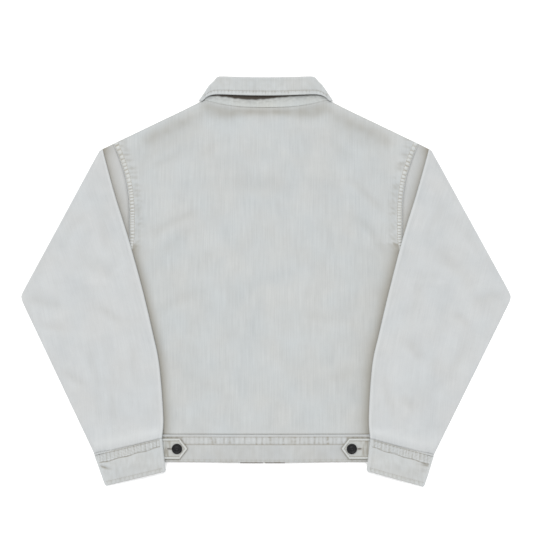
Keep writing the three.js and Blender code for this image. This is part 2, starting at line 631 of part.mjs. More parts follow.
function tape(name, side) {
  const rows = steps(12).map((t) => {
    const y = mix(FRONT_NECK_Y - ZIP.endShort, HEM_Y + ZIP.endShort, t);
    return [ZIP.tapeInner, ZIP.tape].map((out) => {
      const x = FRONT_MIDDLE + side * out;
      const seat = y < WAIST.y + 12 ? DOUBLE : PLY + lift(x, y);
      return [x, y, seat + ZIP.tapeSeat + ZIP.tapeThick / 2];
    });
  });
  return cloth(name, rows, ZIP.tapeThick, TAPE_BROWN);
}

function block(x, y, z, width, depth, height) {
  return new THREE.BoxGeometry(width, depth, height).translate(x, y, z);
}

function joined(wasm, blocks) {
  const solids = blocks.map((geometry) => {
    for (const attribute of ['normal', 'uv']) geometry.deleteAttribute(attribute);
    const merged = mergeVertices(geometry);
    const vertProperties = Float32Array.from(merged.getAttribute('position').array);
    const triVerts = Uint32Array.from(merged.getIndex().array);
    return new wasm.Manifold(new wasm.Mesh({ numProp: 3, vertProperties, triVerts }));
  });
  const mesh = solids.reduce((sum, solid) => sum.add(solid)).getMesh();
  const geometry = new THREE.BufferGeometry();
  geometry.setAttribute('position', new THREE.Float32BufferAttribute(mesh.vertProperties, 3));
  geometry.setIndex(Array.from(mesh.triVerts));
  return geometry;
}

function slider(wasm) {
  const z = ZIP;
  const raise = lift(FRONT_MIDDLE, ZIP_BRIDGE_Y);
  const outer = raise - SEAM - z.plate / 2;
  const inner = raise + z.chainHigh + SEAM + z.plate / 2;
  const topY = z.sliderY + z.sliderLong;
  const middleY = ZIP_BRIDGE_Y;
  const face = outer - z.plate / 2;
  const postZ = face - 0.75;
  const bridgeZ = postZ - 0.55;
  const geometry = joined(wasm, [
    block(0, middleY, outer, z.sliderWide, z.sliderLong, z.plate),
    block(0, middleY, inner, z.sliderWide, z.sliderLong, z.plate),
    block(0, topY - z.neck / 2, (outer + inner) / 2, z.neck, z.neck, inner - outer),
    block(0, middleY - z.postOut, postZ, z.bridgeWide, z.postLong, z.postHigh),
    block(0, middleY + z.postOut, postZ, z.bridgeWide, z.postLong, z.postHigh),
    block(0, middleY, bridgeZ, z.bridgeWide, z.bridgeLong, z.bridgeThick),
  ]);
  const mesh = named('zip_slider', geometry, BRASS, 0.35, 1);
  mesh.position.x = FRONT_MIDDLE;
  return { mesh, axisZ: postZ + 0.2 };
}

function pullTab(wasm, axisZ) {
  const z = ZIP;
  const sideX = (z.pullWide - z.eyeSide) / 2;
  const geometry = joined(wasm, [
    block(0, 0, 0, z.pullWide, z.pin, z.pin),
    block(-sideX, -z.eyeFar / 2, 0, z.eyeSide, z.eyeFar + 0.6, z.pullThick),
    block(sideX, -z.eyeFar / 2, 0, z.eyeSide, z.eyeFar + 0.6, z.pullThick),
    block(0, -(z.eyeFar + z.pullLong) / 2, 0, z.pullWide, z.pullLong - z.eyeFar, z.pullThick),
  ]);
  const mesh = named('zip_pull_tab', geometry, BRASS, 0.35, 1);
  mesh.position.set(FRONT_MIDDLE, ZIP_BRIDGE_Y, axisZ);
  return mesh;
}

const wasm = await Module();
wasm.setup();

const group = new THREE.Group();
group.add(back(), front('front_left', -1), front('front_right', 1));
group.add(sleeve('sleeve_left', SLEEVES.left), sleeve('sleeve_right', SLEEVES.right));
group.add(cuff('cuff_left', SLEEVES.left), cuff('cuff_right', SLEEVES.right));
group.add(waistband(), ...collar());
group.add(tab('tab_left', -1, 130.0), tabButton('tab_button_left', -1, 130.0));
group.add(tab('tab_right', 1, 125.0), tabButton('tab_button_right', 1, 125.0));
group.add(tape('zip_tape_left', -1), tape('zip_tape_right', 1));
const zipSlider = slider(wasm);
group.add(zipSlider.mesh, pullTab(wasm, zipSlider.axisZ));

export default group;
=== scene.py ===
import random
from math import acos, copysign, cos, dist, exp, hypot, pi, sin, sqrt

import bmesh
import bpy
from mathutils import Matrix, Vector, noise


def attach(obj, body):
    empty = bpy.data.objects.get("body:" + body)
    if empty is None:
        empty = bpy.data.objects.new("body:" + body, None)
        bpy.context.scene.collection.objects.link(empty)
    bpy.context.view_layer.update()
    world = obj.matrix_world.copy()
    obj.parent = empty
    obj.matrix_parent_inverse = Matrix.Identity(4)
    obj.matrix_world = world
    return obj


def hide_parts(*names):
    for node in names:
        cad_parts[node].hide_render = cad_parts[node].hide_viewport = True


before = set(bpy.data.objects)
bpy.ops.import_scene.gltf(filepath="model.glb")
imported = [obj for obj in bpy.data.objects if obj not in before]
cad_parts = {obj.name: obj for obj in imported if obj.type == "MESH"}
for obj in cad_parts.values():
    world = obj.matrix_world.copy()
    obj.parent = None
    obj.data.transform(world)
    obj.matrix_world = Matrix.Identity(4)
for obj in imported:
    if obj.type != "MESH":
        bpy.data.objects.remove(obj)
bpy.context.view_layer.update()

# Studio: a sheet of white paper on a table, lit softly from over the collar's side and by the pale room,
# and a camera that looks straight down at the jacket from well above it.
MM = 0.001
PHOTO_WIDTH = 0.8820
CAMERA_Y = 0.0238
PAPER_Z = -0.0004
PAPER_REACH = 3


def linked(name, data):
    made = bpy.data.objects.new(name, data)
    bpy.context.collection.objects.link(made)
    return made


def piece_from(name, form, finish):
    mesh = bpy.data.meshes.new(name)
    form.to_mesh(mesh)
    form.free()
    mesh.materials.append(finish)
    return linked(name, mesh)


def feed(material, node, feeds):
    for socket, value in feeds.items():
        if isinstance(value, bpy.types.NodeSocket):
            material.node_tree.links.new(value, node.inputs[socket])
        else:
            node.inputs[socket].default_value = value
    return node.outputs


def add_node(material, kind, feeds=None, **settings):
    node = material.node_tree.nodes.new("ShaderNode" + kind)
    for setting, value in settings.items():
        setattr(node, setting, value)
    return feed(material, node, feeds or {})


def shade_with(material, feeds):
    feed(material, material.node_tree.nodes["Principled BSDF"], feeds)


def new_material(name, feeds):
    material = bpy.data.materials.new(name)
    material.use_nodes = True
    shade_with(material, feeds)
    return material


camera_data = bpy.data.cameras.new("camera")
camera_data.lens = 100
camera_data.sensor_width = 36
camera = linked("camera", camera_data)
camera.location = (0, CAMERA_Y, PHOTO_WIDTH * camera_data.lens / camera_data.sensor_width)
bpy.context.scene.camera = camera
bpy.context.scene.view_settings.view_transform = "Standard"

room = bpy.data.worlds.new("room")
room.use_nodes = True
room.node_tree.nodes["Background"].inputs["Color"].default_value = (0.98, 0.99, 1.0, 1)
room.node_tree.nodes["Background"].inputs["Strength"].default_value = 0.93
bpy.context.scene.world = room

soft_box_data = bpy.data.lights.new("soft_box", "SUN")
soft_box_data.energy = 1.45
soft_box_data.angle = 0.7
soft_box_data.color = (1.0, 0.985, 0.96)
soft_box = linked("soft_box", soft_box_data)
soft_box.rotation_euler = Vector((0.13, -0.46, -1.0)).to_track_quat("-Z", "Y").to_euler()

paper_white = new_material("paper_white", {"Roughness": 0.9, "Emission Color": (1, 1, 1, 1),
                                           "Emission Strength": 0.12})
paper_grain = add_node(paper_white, "TexNoise", {"Scale": 30})["Fac"]
paper_tone = add_node(paper_white, "MapRange", {"Value": paper_grain, "To Min": 0.93, "To Max": 0.95})
shade_with(paper_white, {"Base Color": paper_tone["Result"]})
paper_form = bmesh.new()
bmesh.ops.create_grid(paper_form, x_segments=2, y_segments=2, size=PAPER_REACH)
bmesh.ops.translate(paper_form, verts=paper_form.verts, vec=(0, 0, PAPER_Z))
piece_from("paper", paper_form, paper_white)

# Back: one panel of washed fine-wale corduroy, sewn in at the shoulders, armholes, sides and waistband.
# It lies over the fronts and shows a ridge under the neck seam, soft hollows at the shoulders and a few
# slack creases. All lengths below are in mm, in the place where the jacket lies.
PLY = 1.5
DOUBLE = 2.0
SEAM = 0.3
AIR = 0.5
REST = 1.0
MIDDLE = -1.0
FRONT_MIDDLE = -3.2
FRONT_GAP = 2.4
SHOULDER_TIP = (252.3, 226.4)
NECK_POINT = (110.2, 294.2)
UNDERARM = (272.5, -5.0)
WAIST = (239.0, -253.2)
BAND_EDGE = WAIST[1] + 12
HEM_Y = -299.4
BACK_NECK_Y = 285.6
FRONT_NECK_Y = 212.0
NECK_OUT = 106.0
LEAF_LIFT = 3.0
WAISTBAND_TOP = 4.9
SIDES = {"left": -1, "right": 1}
TAB_TOP = WAISTBAND_TOP + SEAM + DOUBLE


def clamp01(t):
    return min(1.0, max(0.0, t))


def smooth(t):
    t = clamp01(t)
    return t * t * (3 - 2 * t)


def mix(a, b, t):
    return a + (b - a) * t


def mix_points(p, q, t):
    return [mix(a, b, t) for a, b in zip(p, q)]


def straight(start, end):
    long = hypot(end[0] - start[0], end[1] - start[1])
    along = ((end[0] - start[0]) / long, (end[1] - start[1]) / long)
    return long, along, lambda reach: (start[0] + along[0] * reach, start[1] + along[1] * reach)


def bump(value, centre, width):
    return exp(-(((value - centre) / width) ** 2))


def cloud(x, y, seed):
    return noise.noise(Vector((x, y, seed)))


def cloudy(x, y, seed, level=0.5, gain=1.2):
    return clamp01(level + gain * cloud(x, y, seed))


def ripple(x, pitch, stray=0.0, drift=1.0, phase=0.0):
    return sin(x * 2 * pi / pitch + stray * sin(x / drift) + phase)


def nearest_to(values, wanted):
    return min(range(len(values)), key=lambda i: abs(values[i] - wanted))


def spread(count, first=0.0, last=1.0):
    return [mix(first, last, i / count) for i in range(count + 1)]


def curve_through(rows):
    before = [2 * a - b for a, b in zip(rows[0], rows[1])]
    after = [2 * a - b for a, b in zip(rows[-1], rows[-2])]
    points = [before, *rows, after]

    def at(t):
        place = clamp01(t) * (len(rows) - 1)
        i = min(int(place), len(rows) - 2)
        w = place - i
        found = []
        for a, b, c, d in zip(points[i], points[i + 1], points[i + 2], points[i + 3]):
            start, end = (c - a) / 2, (d - b) / 2
            square, cube = 3 * (c - b) - 2 * start - end, 2 * (b - c) + start + end
            found.append(b + start * w + square * w * w + cube * w ** 3)
        return found
    return at


def point_at(curve, y):
    low, high = 0.0, 1.0
    for _ in range(24):
        t = (low + high) / 2
        if curve(t)[1] > y:
            low = t
        else:
            high = t
    return curve(high)


armhole = curve_through([SHOULDER_TIP, (241.5, 200.0), (231.6, 168.0), (226.3, 132.0),
                         (225.4, 96.0), (227.0, 62.0), (240.0, 27.0), UNDERARM])
ARMHOLE_SHARE = 0.48
ARMHOLE_TALL = 234


def reach_along(curve, lowest, count):
    reach = [point_at(curve, lowest + mm)[0] for mm in range(count)]

    def at(y):
        above = min(max(y - lowest, 0), count - 1.1)
        return mix(reach[int(above)], reach[int(above) + 1], above - int(above))
    return at


armhole_reach = reach_along(armhole, UNDERARM[1], ARMHOLE_TALL)


def side_edge(hole):
    def at(v):
        if v < ARMHOLE_SHARE:
            return hole(v / ARMHOLE_SHARE)
        return mix_points(UNDERARM, WAIST, (v - ARMHOLE_SHARE) / (1 - ARMHOLE_SHARE))
    return at


def half_width(y):
    if y < UNDERARM[1]:
        return mix(UNDERARM[0], WAIST[0], clamp01((UNDERARM[1] - y) / (UNDERARM[1] - WAIST[1])))
    return armhole_reach(y)


def back_neck(out):
    return BACK_NECK_Y + 12 * (abs(out) / 97) ** 2.5


def shoulder_line(out):
    slope = (SHOULDER_TIP[1] - NECK_POINT[1]) / (SHOULDER_TIP[0] - NECK_POINT[0])
    return NECK_POINT[1] + slope * (abs(out) - NECK_POINT[0])


def top_edge(out):
    return min(back_neck(out), shoulder_line(out))


def lift(x, y):
    return LEAF_LIFT * smooth((y - 146) / 32) * (1 - smooth((abs(x - MIDDLE) - 104) / 40))


def back_top(x, y):
    out = abs(x - MIDDLE)
    from_side = max(0.0, half_width(y) - out)
    from_top = max(0.0, top_edge(out) - y)
    from_waist = max(0.0, y - WAIST[1])
    full = 1.6 * smooth(from_side / 12) + 1.5 * smooth(from_side / 190)
    neck = 3.0 * (1 - smooth((out - 78) / 45)) * (1 - smooth(from_top / 115))
    trough = -0.8 * bump(from_top, 15, 8) * (1 - smooth((out - 80) / 30))
    hollow = -0.9 * bump(out, 185, 38) * bump(y, 238, 26) * smooth(from_top / 15)
    wave = 0.5 * sin(x / 31 + y / 150) * sin(y / 74 + 1.1)
    waves = wave * smooth(from_side / 50) * smooth(from_top / 60) * smooth(from_waist / 50)
    return 2 * PLY + SEAM + lift(x, y) + full * smooth(from_top / 18) + neck + trough + hollow + waves


def waistband_top(x):
    return WAISTBAND_TOP + 1.4 * (1 - smooth((abs(x - FRONT_MIDDLE) - 55) / 50))


def creased(x, y, creases):
    depth = 0.0
    for x0, y0, x1, y1, width, deep in creases:
        long = hypot(x1 - x0, y1 - y0)
        along = ((x - x0) * (x1 - x0) + (y - y0) * (y1 - y0)) / long
        aside = ((x - x0) * (y1 - y0) - (y - y0) * (x1 - x0)) / long + 2.5 * sin(along / 17 + x0)
        if abs(aside) > 4 * width or along < -width or along > long + width:
            continue
        fade = 0.35 * long + width
        ends = smooth((along + width) / fade) * smooth((long + width - along) / fade)
        depth += deep * ends * (bump(aside, 0, width) - 0.45 * bump(aside, 1.9 * width, width))
    return depth


def slack(x, y, seed):
    return 0.34 * cloud(x / 46, y / 58, seed) + 0.13 * cloud(x / 17, y / 22, seed + 9)


def patch(top, bottom, left, right):
    tl, tr, bl, br = top(0), top(1), bottom(0), bottom(1)

    def at(u, v):
        a, b, c, d = top(u), bottom(u), left(v), right(v)
        found = []
        for i in range(2):
            between = mix(a[i], b[i], v) + mix(c[i], d[i], u)
            found.append(between - mix(mix(tl[i], tr[i], u), mix(bl[i], br[i], u), v))
        return found
    return at


def corduroy(name, cool, warm, wale=1.35, streak=0.05, shade_and_wear=(0.272, 0.255, 0.216),
             painted_highlight=(0.60, 0.615, 0.615)):
    material = new_material(name, {"Roughness": 0.93, "Sheen Weight": 0.18, "Sheen Roughness": 0.45,
                                   "Specular IOR Level": 0.22})
    weave = add_node(material, "UVMap", uv_map="weave")["UV"]
    across = add_node(material, "SeparateXYZ", {"Vector": weave})["X"]
    place = add_node(material, "TexCoord")["Object"]

    def reckon(operation, a, b=0, c=0):
        return add_node(material, "Math", {0: a, 1: b, 2: c}, operation=operation)["Value"]

    def stretched(scale):
        return add_node(material, "Mapping", {"Vector": weave, "Scale": scale})["Vector"]

    def specks(vector, scale, detail=2, roughness=0.5):
        return add_node(material, "TexNoise", {"Vector": vector, "Scale": scale, "Detail": detail,
                                               "Roughness": roughness})["Fac"]

    def blended(share, first, second, way="MIX"):
        return add_node(material, "Mix", {0: share, 6: first, 7: second}, data_type="RGBA", blend_type=way)[2]

    wander = reckon("MULTIPLY", specks(stretched((160, 28, 1)), 1), 2.6)
    phase = reckon("MULTIPLY_ADD", across, 2 * pi / (wale * MM), wander)
    rib = reckon("MULTIPLY_ADD", reckon("SINE", phase), 0.5, 0.5)
    streaks = specks(stretched((560, 20, 1)), 1, 3)
    fade = specks(place, 26, 5, 0.6)
    fuzz = specks(place, 1500)
    tone = 1.0
    for uneven, strength in ((streaks, streak * 2.9), (fade, 0.2), (rib, 0.14), (fuzz, 0.1)):
        tone = reckon("MULTIPLY_ADD", reckon("SUBTRACT", uneven, 0.5), strength, tone)

    cast = add_node(material, "MapRange", {"Value": specks(place, 17, 3), "From Min": 0.35, "From Max": 0.65})
    # The attribute read here darkens the cloth toward the dark tint where it is over 0 (painted shade and
    # wear) and lightens it toward the pale tint where it is under 0 (painted highlight).
    shading_and_wear = add_node(material, "Attribute", attribute_name="shading_and_wear")["Fac"]
    dyed = blended(cast["Result"], (*cool, 1), (*warm, 1))
    dyed = blended(1.0, dyed, tone, "MULTIPLY")
    dyed = blended(shading_and_wear, dyed, (*shade_and_wear, 1))
    dyed = blended(reckon("MULTIPLY", shading_and_wear, -1), dyed, (*painted_highlight, 1))
    relief = add_node(material, "Bump", {"Height": reckon("MULTIPLY_ADD", fuzz, 0.35, rib),
                                         "Strength": 0.5, "Distance": 0.00022})
    shade_with(material, {"Base Color": dyed, "Normal": relief["Normal"]})
    return material


# Rows of (x, y, z) or (x, y, z, shading) in mm become a shell. A fourth value over 0 darkens the cloth with
# painted shade and wear, and one under 0 lightens it with a painted highlight.
def cloth(name, points, thickness, finish, grain=None):
    rows, columns = len(points), len(points[0])
    form = bmesh.new()
    bmesh.ops.create_grid(form, x_segments=columns - 1, y_segments=rows - 1, size=0.5)
    weave = form.loops.layers.uv.new("weave")
    shade_and_wear = form.verts.layers.float.new("shading_and_wear")
    stations = {vert: (round((vert.co.y + 0.5) * (rows - 1)), round((vert.co.x + 0.5) * (columns - 1)))
                for vert in form.verts}
    for face in form.faces:
        face.smooth = True
        for loop in face.loops:
            r, c = stations[loop.vert]
            loop[weave].uv = [mm * MM for mm in (grain or points)[r][c][:2]]
    for vert, (r, c) in stations.items():
        vert.co = Vector(points[r][c][:3]) * MM
        vert[shade_and_wear] = points[r][c][3] if len(points[r][c]) > 3 else 0.0
    bmesh.ops.remove_doubles(form, verts=form.verts, dist=1e-6)
    bmesh.ops.recalc_face_normals(form, faces=form.faces)
    piece = piece_from(name, form, finish)
    wall = piece.modifiers.new("ply", "SOLIDIFY")
    wall.thickness = thickness * MM
    wall.offset = 0
    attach(piece, "jacket")
    return piece


def grid(rows, columns, station):
    return [[station(r, c) for c in columns] for r in rows]


def placed(centre, size, turn=Matrix.Identity(4)):
    return Matrix.Translation(Vector(centre) * MM) @ turn @ Matrix.Diagonal([mm * MM for mm in size] + [1])


def bead(form, centre, radii, turn=Matrix.Identity(4), round_it=(6, 4)):
    bmesh.ops.create_uvsphere(form, u_segments=round_it[0], v_segments=round_it[1], radius=1,
                              matrix=placed(centre, radii, turn))


def stitches(name, path, thread, pitch=3.5, long=2.7, thick=0.42):
    form = bmesh.new()
    gone, due = 0.0, pitch / 2
    for a, b in zip(path, path[1:]):
        step = Vector(b) - Vector(a)
        if step.length == 0:
            continue
        turn = step.to_track_quat("X", "Z").to_matrix().to_4x4() @ Matrix.Rotation(pi / 2, 4, "Y")
        while due <= gone + step.length:
            centre = Vector(a) + step * ((due - gone) / step.length)
            bead(form, centre, (thick / 2, thick / 2, long / 2), turn)
            due += pitch
        gone += step.length
    for face in form.faces:
        face.smooth = True
    piece = piece_from(name, form, thread)
    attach(piece, "jacket")
    return piece


def over(row, gap=0.08):
    return [(x, y, z + DOUBLE / 2 + gap) for x, y, z, _ in row]


def speckled(name, grain, dark, light, looks):
    material = new_material(name, looks)
    place = add_node(material, "TexCoord")["Object"]
    specks = add_node(material, "TexNoise", {**grain, "Vector": place})["Fac"]
    tone = add_node(material, "ValToRGB", {"Fac": specks})["Color"]
    for stop, (position, colour) in zip(tone.node.color_ramp.elements, (dark, light)):
        stop.position = position
        stop.color = (*colour, 1)
    shade_with(material, {"Base Color": tone})
    return material, specks


def sewing_thread(name, colour):
    shadow = [part * 0.8 for part in colour]
    return speckled(name, {"Scale": 900}, (0, shadow), (1, colour), {"Roughness": 0.7})[0]


pale_cord = corduroy("pale_cord", (0.451, 0.471, 0.476), (0.463, 0.472, 0.467), streak=0.085)
seam_thread = sewing_thread("seam_thread", (0.34, 0.305, 0.245))

BACK_CREASES = [
    (-99.8, 124.6, -197.2, 68.5, 8, -1.1), (-142.7, 212, -192.2, 179, 7, -0.9),
    (-110, 90, -185, 40, 9, -0.7), (-197, -58, -88, -9, 10, -0.8),
    (126, 172, 203.8, 113, 7, -1.2), (137.8, 113, 208.9, 40.6, 7, -1.2),
    (33, -47, 165, -75, 10, -0.7), (-60, 160, 40, 150, 13, -0.5),
    (-150, -150, -60, -185, 11, -0.6), (60, -170, 170, -150, 11, -0.6),
    (-205, -30, -190, -190, 9, -0.7), (200, -10, 188, -200, 9, -0.7),
    (-120, 196, -60, 240, 9, -0.7), (150, 196, 96, 236, 9, -0.6),
]
# Where the inner fold of each sleeve lies over the back. Beside it the back's colour is darkened with painted
# shade.
SLEEVE_FOLD = {
    -1: [(270.4, 217.5), (250.6, 144.4), (227.5, 70.1), (205.4, -9.1), (187.3, -85.0),
         (176.4, -139.4), (169.8, -221.9), (171.6, -259.0)],
    1: [(269.9, 217.5), (249.3, 144.4), (226.5, 70.1), (205.6, -9.1), (187.6, -85.0),
        (175.9, -139.4), (170.3, -221.9), (172.2, -259.8)],
}
FOLD_LOWEST = -259
FOLD_TALL = 477
inner_fold = {side: reach_along(curve_through(rows), FOLD_LOWEST, FOLD_TALL)
              for side, rows in SLEEVE_FOLD.items()}


def eased(t):
    return 0.5 - 0.5 * cos(pi * t)


back_cos = [cos(pi * t) for t in spread(200)]
back_u = [0.5 - 0.5 * copysign(abs(c) ** 0.82, c) for c in back_cos]
back_v = [mix(t, eased(t), 0.55) for t in spread(170)]


def back_across_top(u):
    out = mix(-SHOULDER_TIP[0], SHOULDER_TIP[0], u)
    return [out, top_edge(out) - SEAM]


def back_left(v):
    out, y = side_edge(armhole)(v)
    return [-out, y]


back_place = patch(back_across_top, lambda u: [mix(-WAIST[0], WAIST[0], u), WAIST[1]], back_left,
                   side_edge(armhole))


def drawn_in(x, y):
    return cloud(x / 26, y / 4.2, 3)


def back_detail(x, y):
    out = abs(x - MIDDLE)
    from_side = half_width(y) - out
    from_top = top_edge(out) - y
    from_waist = y - WAIST[1]
    free = smooth((from_side - 6) / 25) * smooth((from_top - 8) / 25) * smooth((from_waist - 3) / 25)
    at_neck = 1 - smooth((out - 88) / 14)
    ridge = at_neck * (0.8 * bump(from_top, 3.5, 3.0) - 1.5 * bump(from_top, 21, 13))
    pucker = at_neck * 0.22 * ripple(x, 6.3, 1.7, 19) * bump(from_top, 3, 5)
    shoulder = (1 - at_neck) * (0.5 * bump(from_top, 5, 5) - 1.7 * bump(from_top, 34, 17))
    pulls = 0.3 * ripple(x, 9.5, 2, 23) * bump(from_waist, 3, 8)
    drag = 0.8 * drawn_in(x, y) * bump(from_side, 16, 10) * smooth((y - 40) / 20)
    folds = free * (creased(x, y, BACK_CREASES) + 1.7 * slack(x, y, 1))
    return folds + ridge + pucker + shoulder * smooth((230 - out) / 50) + pulls + drag


# Painted shade on the back: beside the inner fold of each sleeve, in the trough under the neck seam, in the
# hollows under the shoulders, in the drawn-in folds near the sides, in the creases and along the neck and
# waist seams. The cloudy noise only makes it uneven.
def back_shade_and_wear(x, y):
    side = -1 if x < MIDDLE else 1
    out = abs(x - MIDDLE)
    beside_fold = 0.0
    if y < 62:
        beside = inner_fold[side](y) - out
        near, wide, reach = (0.7, 0.06, 11) if side < 0 else (0.5, 0.27, 13)
        beside_fold = near * bump(max(beside, 0), 0, reach) + wide * exp(-max(beside, 0) / 32)
    from_top = top_edge(out) - y
    at_sides = smooth((out - 20) / 60)
    neck = 0.5 * bump(from_top, mix(7, 13, at_sides), mix(7, 12, at_sides)) * (1 - smooth((out - 88) / 36))
    shoulder = 0.3 * bump(from_top, 18, 11) * smooth((out - 96) / 45) * smooth((225 - out) / 40)
    shoulder += 0.14 * bump(from_top, 38, 22) * smooth((out - 90) / 30) * smooth((225 - out) / 40)
    seam = 0.25 * bump(from_top, 0, 0.9) + 0.5 * bump(y - WAIST[1], 0, 1.3)
    patchy = 0.8 + 0.4 * cloudy(x / 13, y / 13, 7, gain=1)
    drawn = 0.4 * clamp01(0.4 - 1.6 * drawn_in(x, y)) * bump(half_width(y) - out, 15, 7)
    drawn *= smooth((y - 40) / 20)
    shade_and_wear = beside_fold + (neck + shoulder) * patchy + seam + drawn
    return clamp01(shade_and_wear - creased(x, y, BACK_CREASES) * 0.1)


def back_station(v, u):
    out, y = back_place(u, v)
    x = MIDDLE + out
    meet = smooth((v - 0.9) / 0.1) * smooth((half_width(y) - abs(out)) / 30)
    top = mix(back_top(x, y), waistband_top(x), meet)
    return (x, y, top - PLY / 2 + back_detail(x, y), back_shade_and_wear(x, y))


back = cloth("back_panel", grid(back_v, back_u, back_station), PLY, pale_cord)
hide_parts("back")

# Fronts: two panels of the same cloth, face down on the table under the back, with the zip between them.
# They are cut with a deeper neck than the back and lie on the leaves of the collar near it.
front_armhole = curve_through([SHOULDER_TIP, (239.0, 200.0), (226.0, 168.0), (219.0, 132.0),
                               (217.5, 96.0), (221.0, 62.0), (237.0, 27.0), UNDERARM])
SHOULDER_SHARE = 0.55


def front_neck(turn):
    return [NECK_OUT * cos(turn), mix(NECK_POINT[1], FRONT_NECK_Y, sin(turn))]


for name, side in SIDES.items():
    middle_out = FRONT_GAP + side * (FRONT_MIDDLE - MIDDLE)

    def front_top(u):
        if u < SHOULDER_SHARE:
            return mix_points([SHOULDER_TIP[0], SHOULDER_TIP[1] - SEAM], [NECK_OUT, NECK_POINT[1] - 1],
                              u / SHOULDER_SHARE)
        out, y = front_neck((u - SHOULDER_SHARE) / (1 - SHOULDER_SHARE) * pi / 2)
        return [max(out, middle_out), y - 1]

    front_place = patch(front_top, lambda u: [mix(WAIST[0], middle_out, u), WAIST[1]],
                        side_edge(front_armhole), lambda v: [middle_out, mix(FRONT_NECK_Y - 1, WAIST[1], v)])

    def front_station(v, u):
        out, y = front_place(u, v)
        x = MIDDLE + side * out
        return (x, y, PLY / 2 + lift(x, y))

    front = cloth("front_panel_" + name, grid(spread(100), spread(70), front_station), PLY, pale_cord)
    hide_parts("front_" + name)

# Sleeves: each is one piece, folded flat, with its upper layer swung in over the back. Where its fold
# crosses the armhole the spare cloth lies in a pleat, from the shoulder tip to the underarm. Below that
# it is a flat tube.
SLEEVES = {
    "left": {
        "side": -1, "fold": SLEEVE_FOLD[-1],
        "elbow": (405.6, -26.5), "crown": (275.4, 213.7), "wrist": (282.6, -286.4),
        "hem": ((166.0, -312.4), (264.6, -336.6)),
        "creases": [
            (-274.7, 123, -258, 40, 9, -0.55), (-274.7, -47, -236.7, -68.5, 7, -0.7),
            (-291, -113, -279.7, -184, 7, -0.65), (-258, -174, -253, -240, 6, -0.55),
            (-335.8, -146, -296, -174, 7, -0.6), (-398, -22, -329, -52, 9, -0.6),
            (-300, 30, -240, 5, 10, -0.45), (-225, -100, -205, -190, 8, -0.45),
            (-340, 60, -300, 110, 9, -0.4), (-372, -70, -330, -84, 7, -0.5),
        ],
    },
    "right": {
        "side": 1, "fold": SLEEVE_FOLD[1],
        "elbow": (406.0, -26.5), "crown": (274.1, 213.7), "wrist": (276.4, -288.2),
        "hem": ((166.9, -311.6), (260.4, -338.2)),
        "creases": [
            (274.7, 57, 352, -19, 11, -0.6), (307.7, -52, 334, -78, 7, -0.6),
            (236.8, -101, 256, -132, 8, -0.7), (222, -193, 244, -209, 8, -0.65),
            (192, -141, 209, -240, 7, -0.45), (398, -20, 340, -40, 9, -0.55),
            (290, 130, 262, 60, 9, -0.5), (330, -110, 296, -170, 8, -0.5),
            (262, 10, 236, -60, 9, -0.45), (320, 90, 352, 40, 8, -0.4),
        ],
    },
}
FOLD_STANDS = 1.5
UNDERARM_AT = 0.46
UNDERARM_HEIGHT = 1.7
PLEAT_OUT = 273.6
TAB_TIP = 128.5
TAB_SHOULDER = 141.0
TAB_BASE = 213.0
TAB_HALF = 16.9
TAB_Y = -277.0
# How many steps each part of a ring round the sleeve has.
N_STRIP, N_HIDDEN, N_UNDER, N_FOLD, N_TOP, N_EDGE, N_FLOOR = 8, 5, 26, 8, 56, 6, 28


def fall_off(outside):
    return 1 - smooth((outside - 9) / 30)


def body_under(out, y):
    inside = min(out, half_width(y) - 1)
    held_y = max(y, WAIST[1])
    panel = back_top(MIDDLE + inside, held_y) * fall_off(out - half_width(y))
    if y > BAND_EDGE:
        return panel
    low = HEM_Y - y
    band = WAISTBAND_TOP * fall_off(out - WAIST[0]) * fall_off(low)
    beyond_tab = max(abs(y - TAB_Y) - TAB_HALF, out - TAB_BASE)
    tab = (TAB_TOP - WAISTBAND_TOP) * (1 - smooth((beyond_tab - 5) / 14)) * fall_off(out - WAIST[0])
    return max(0 if y < WAIST[1] else panel, band) + tab


def sleeve_section(shape, s):
    fold_edge = curve_through(shape["fold"])
    wrist_y = shape["fold"][-1][1]
    if s < UNDERARM_AT:
        start = point_at(fold_edge, armhole(s / UNDERARM_AT)[1])
    else:
        start = point_at(fold_edge, mix(UNDERARM[1], wrist_y, (s - UNDERARM_AT) / (1 - UNDERARM_AT)))
    if s < 0.5:
        end = mix_points(shape["crown"], shape["elbow"], s * 2)
    else:
        end = mix_points(shape["elbow"], shape["wrist"], s * 2 - 1)
    end = (end[0] - 1.7 * max(0.0, 1 - abs(s - 0.5) / 0.022) ** 2, end[1])
    width, _, place = straight(start, end)
    return {"place": place, "width": width, "s": s, "thickness": PLY}


def seam_reach(section):
    underarm = UNDERARM[0] + 10 - section["place"](0)[0]
    return mix(underarm, section["width"] * 0.3, smooth((section["s"] - UNDERARM_AT) / (1 - UNDERARM_AT)))


def half_turn(tip, start, end, lean, count):
    radius = abs(end - start) / 2
    turns = []
    for t in spread(count):
        angle = pi * (t - 0.5)
        turns.append((tip - lean * radius * (1 - cos(angle)),
                      (start + end) / 2 + sin(angle) * (end - start) / 2))
    return turns


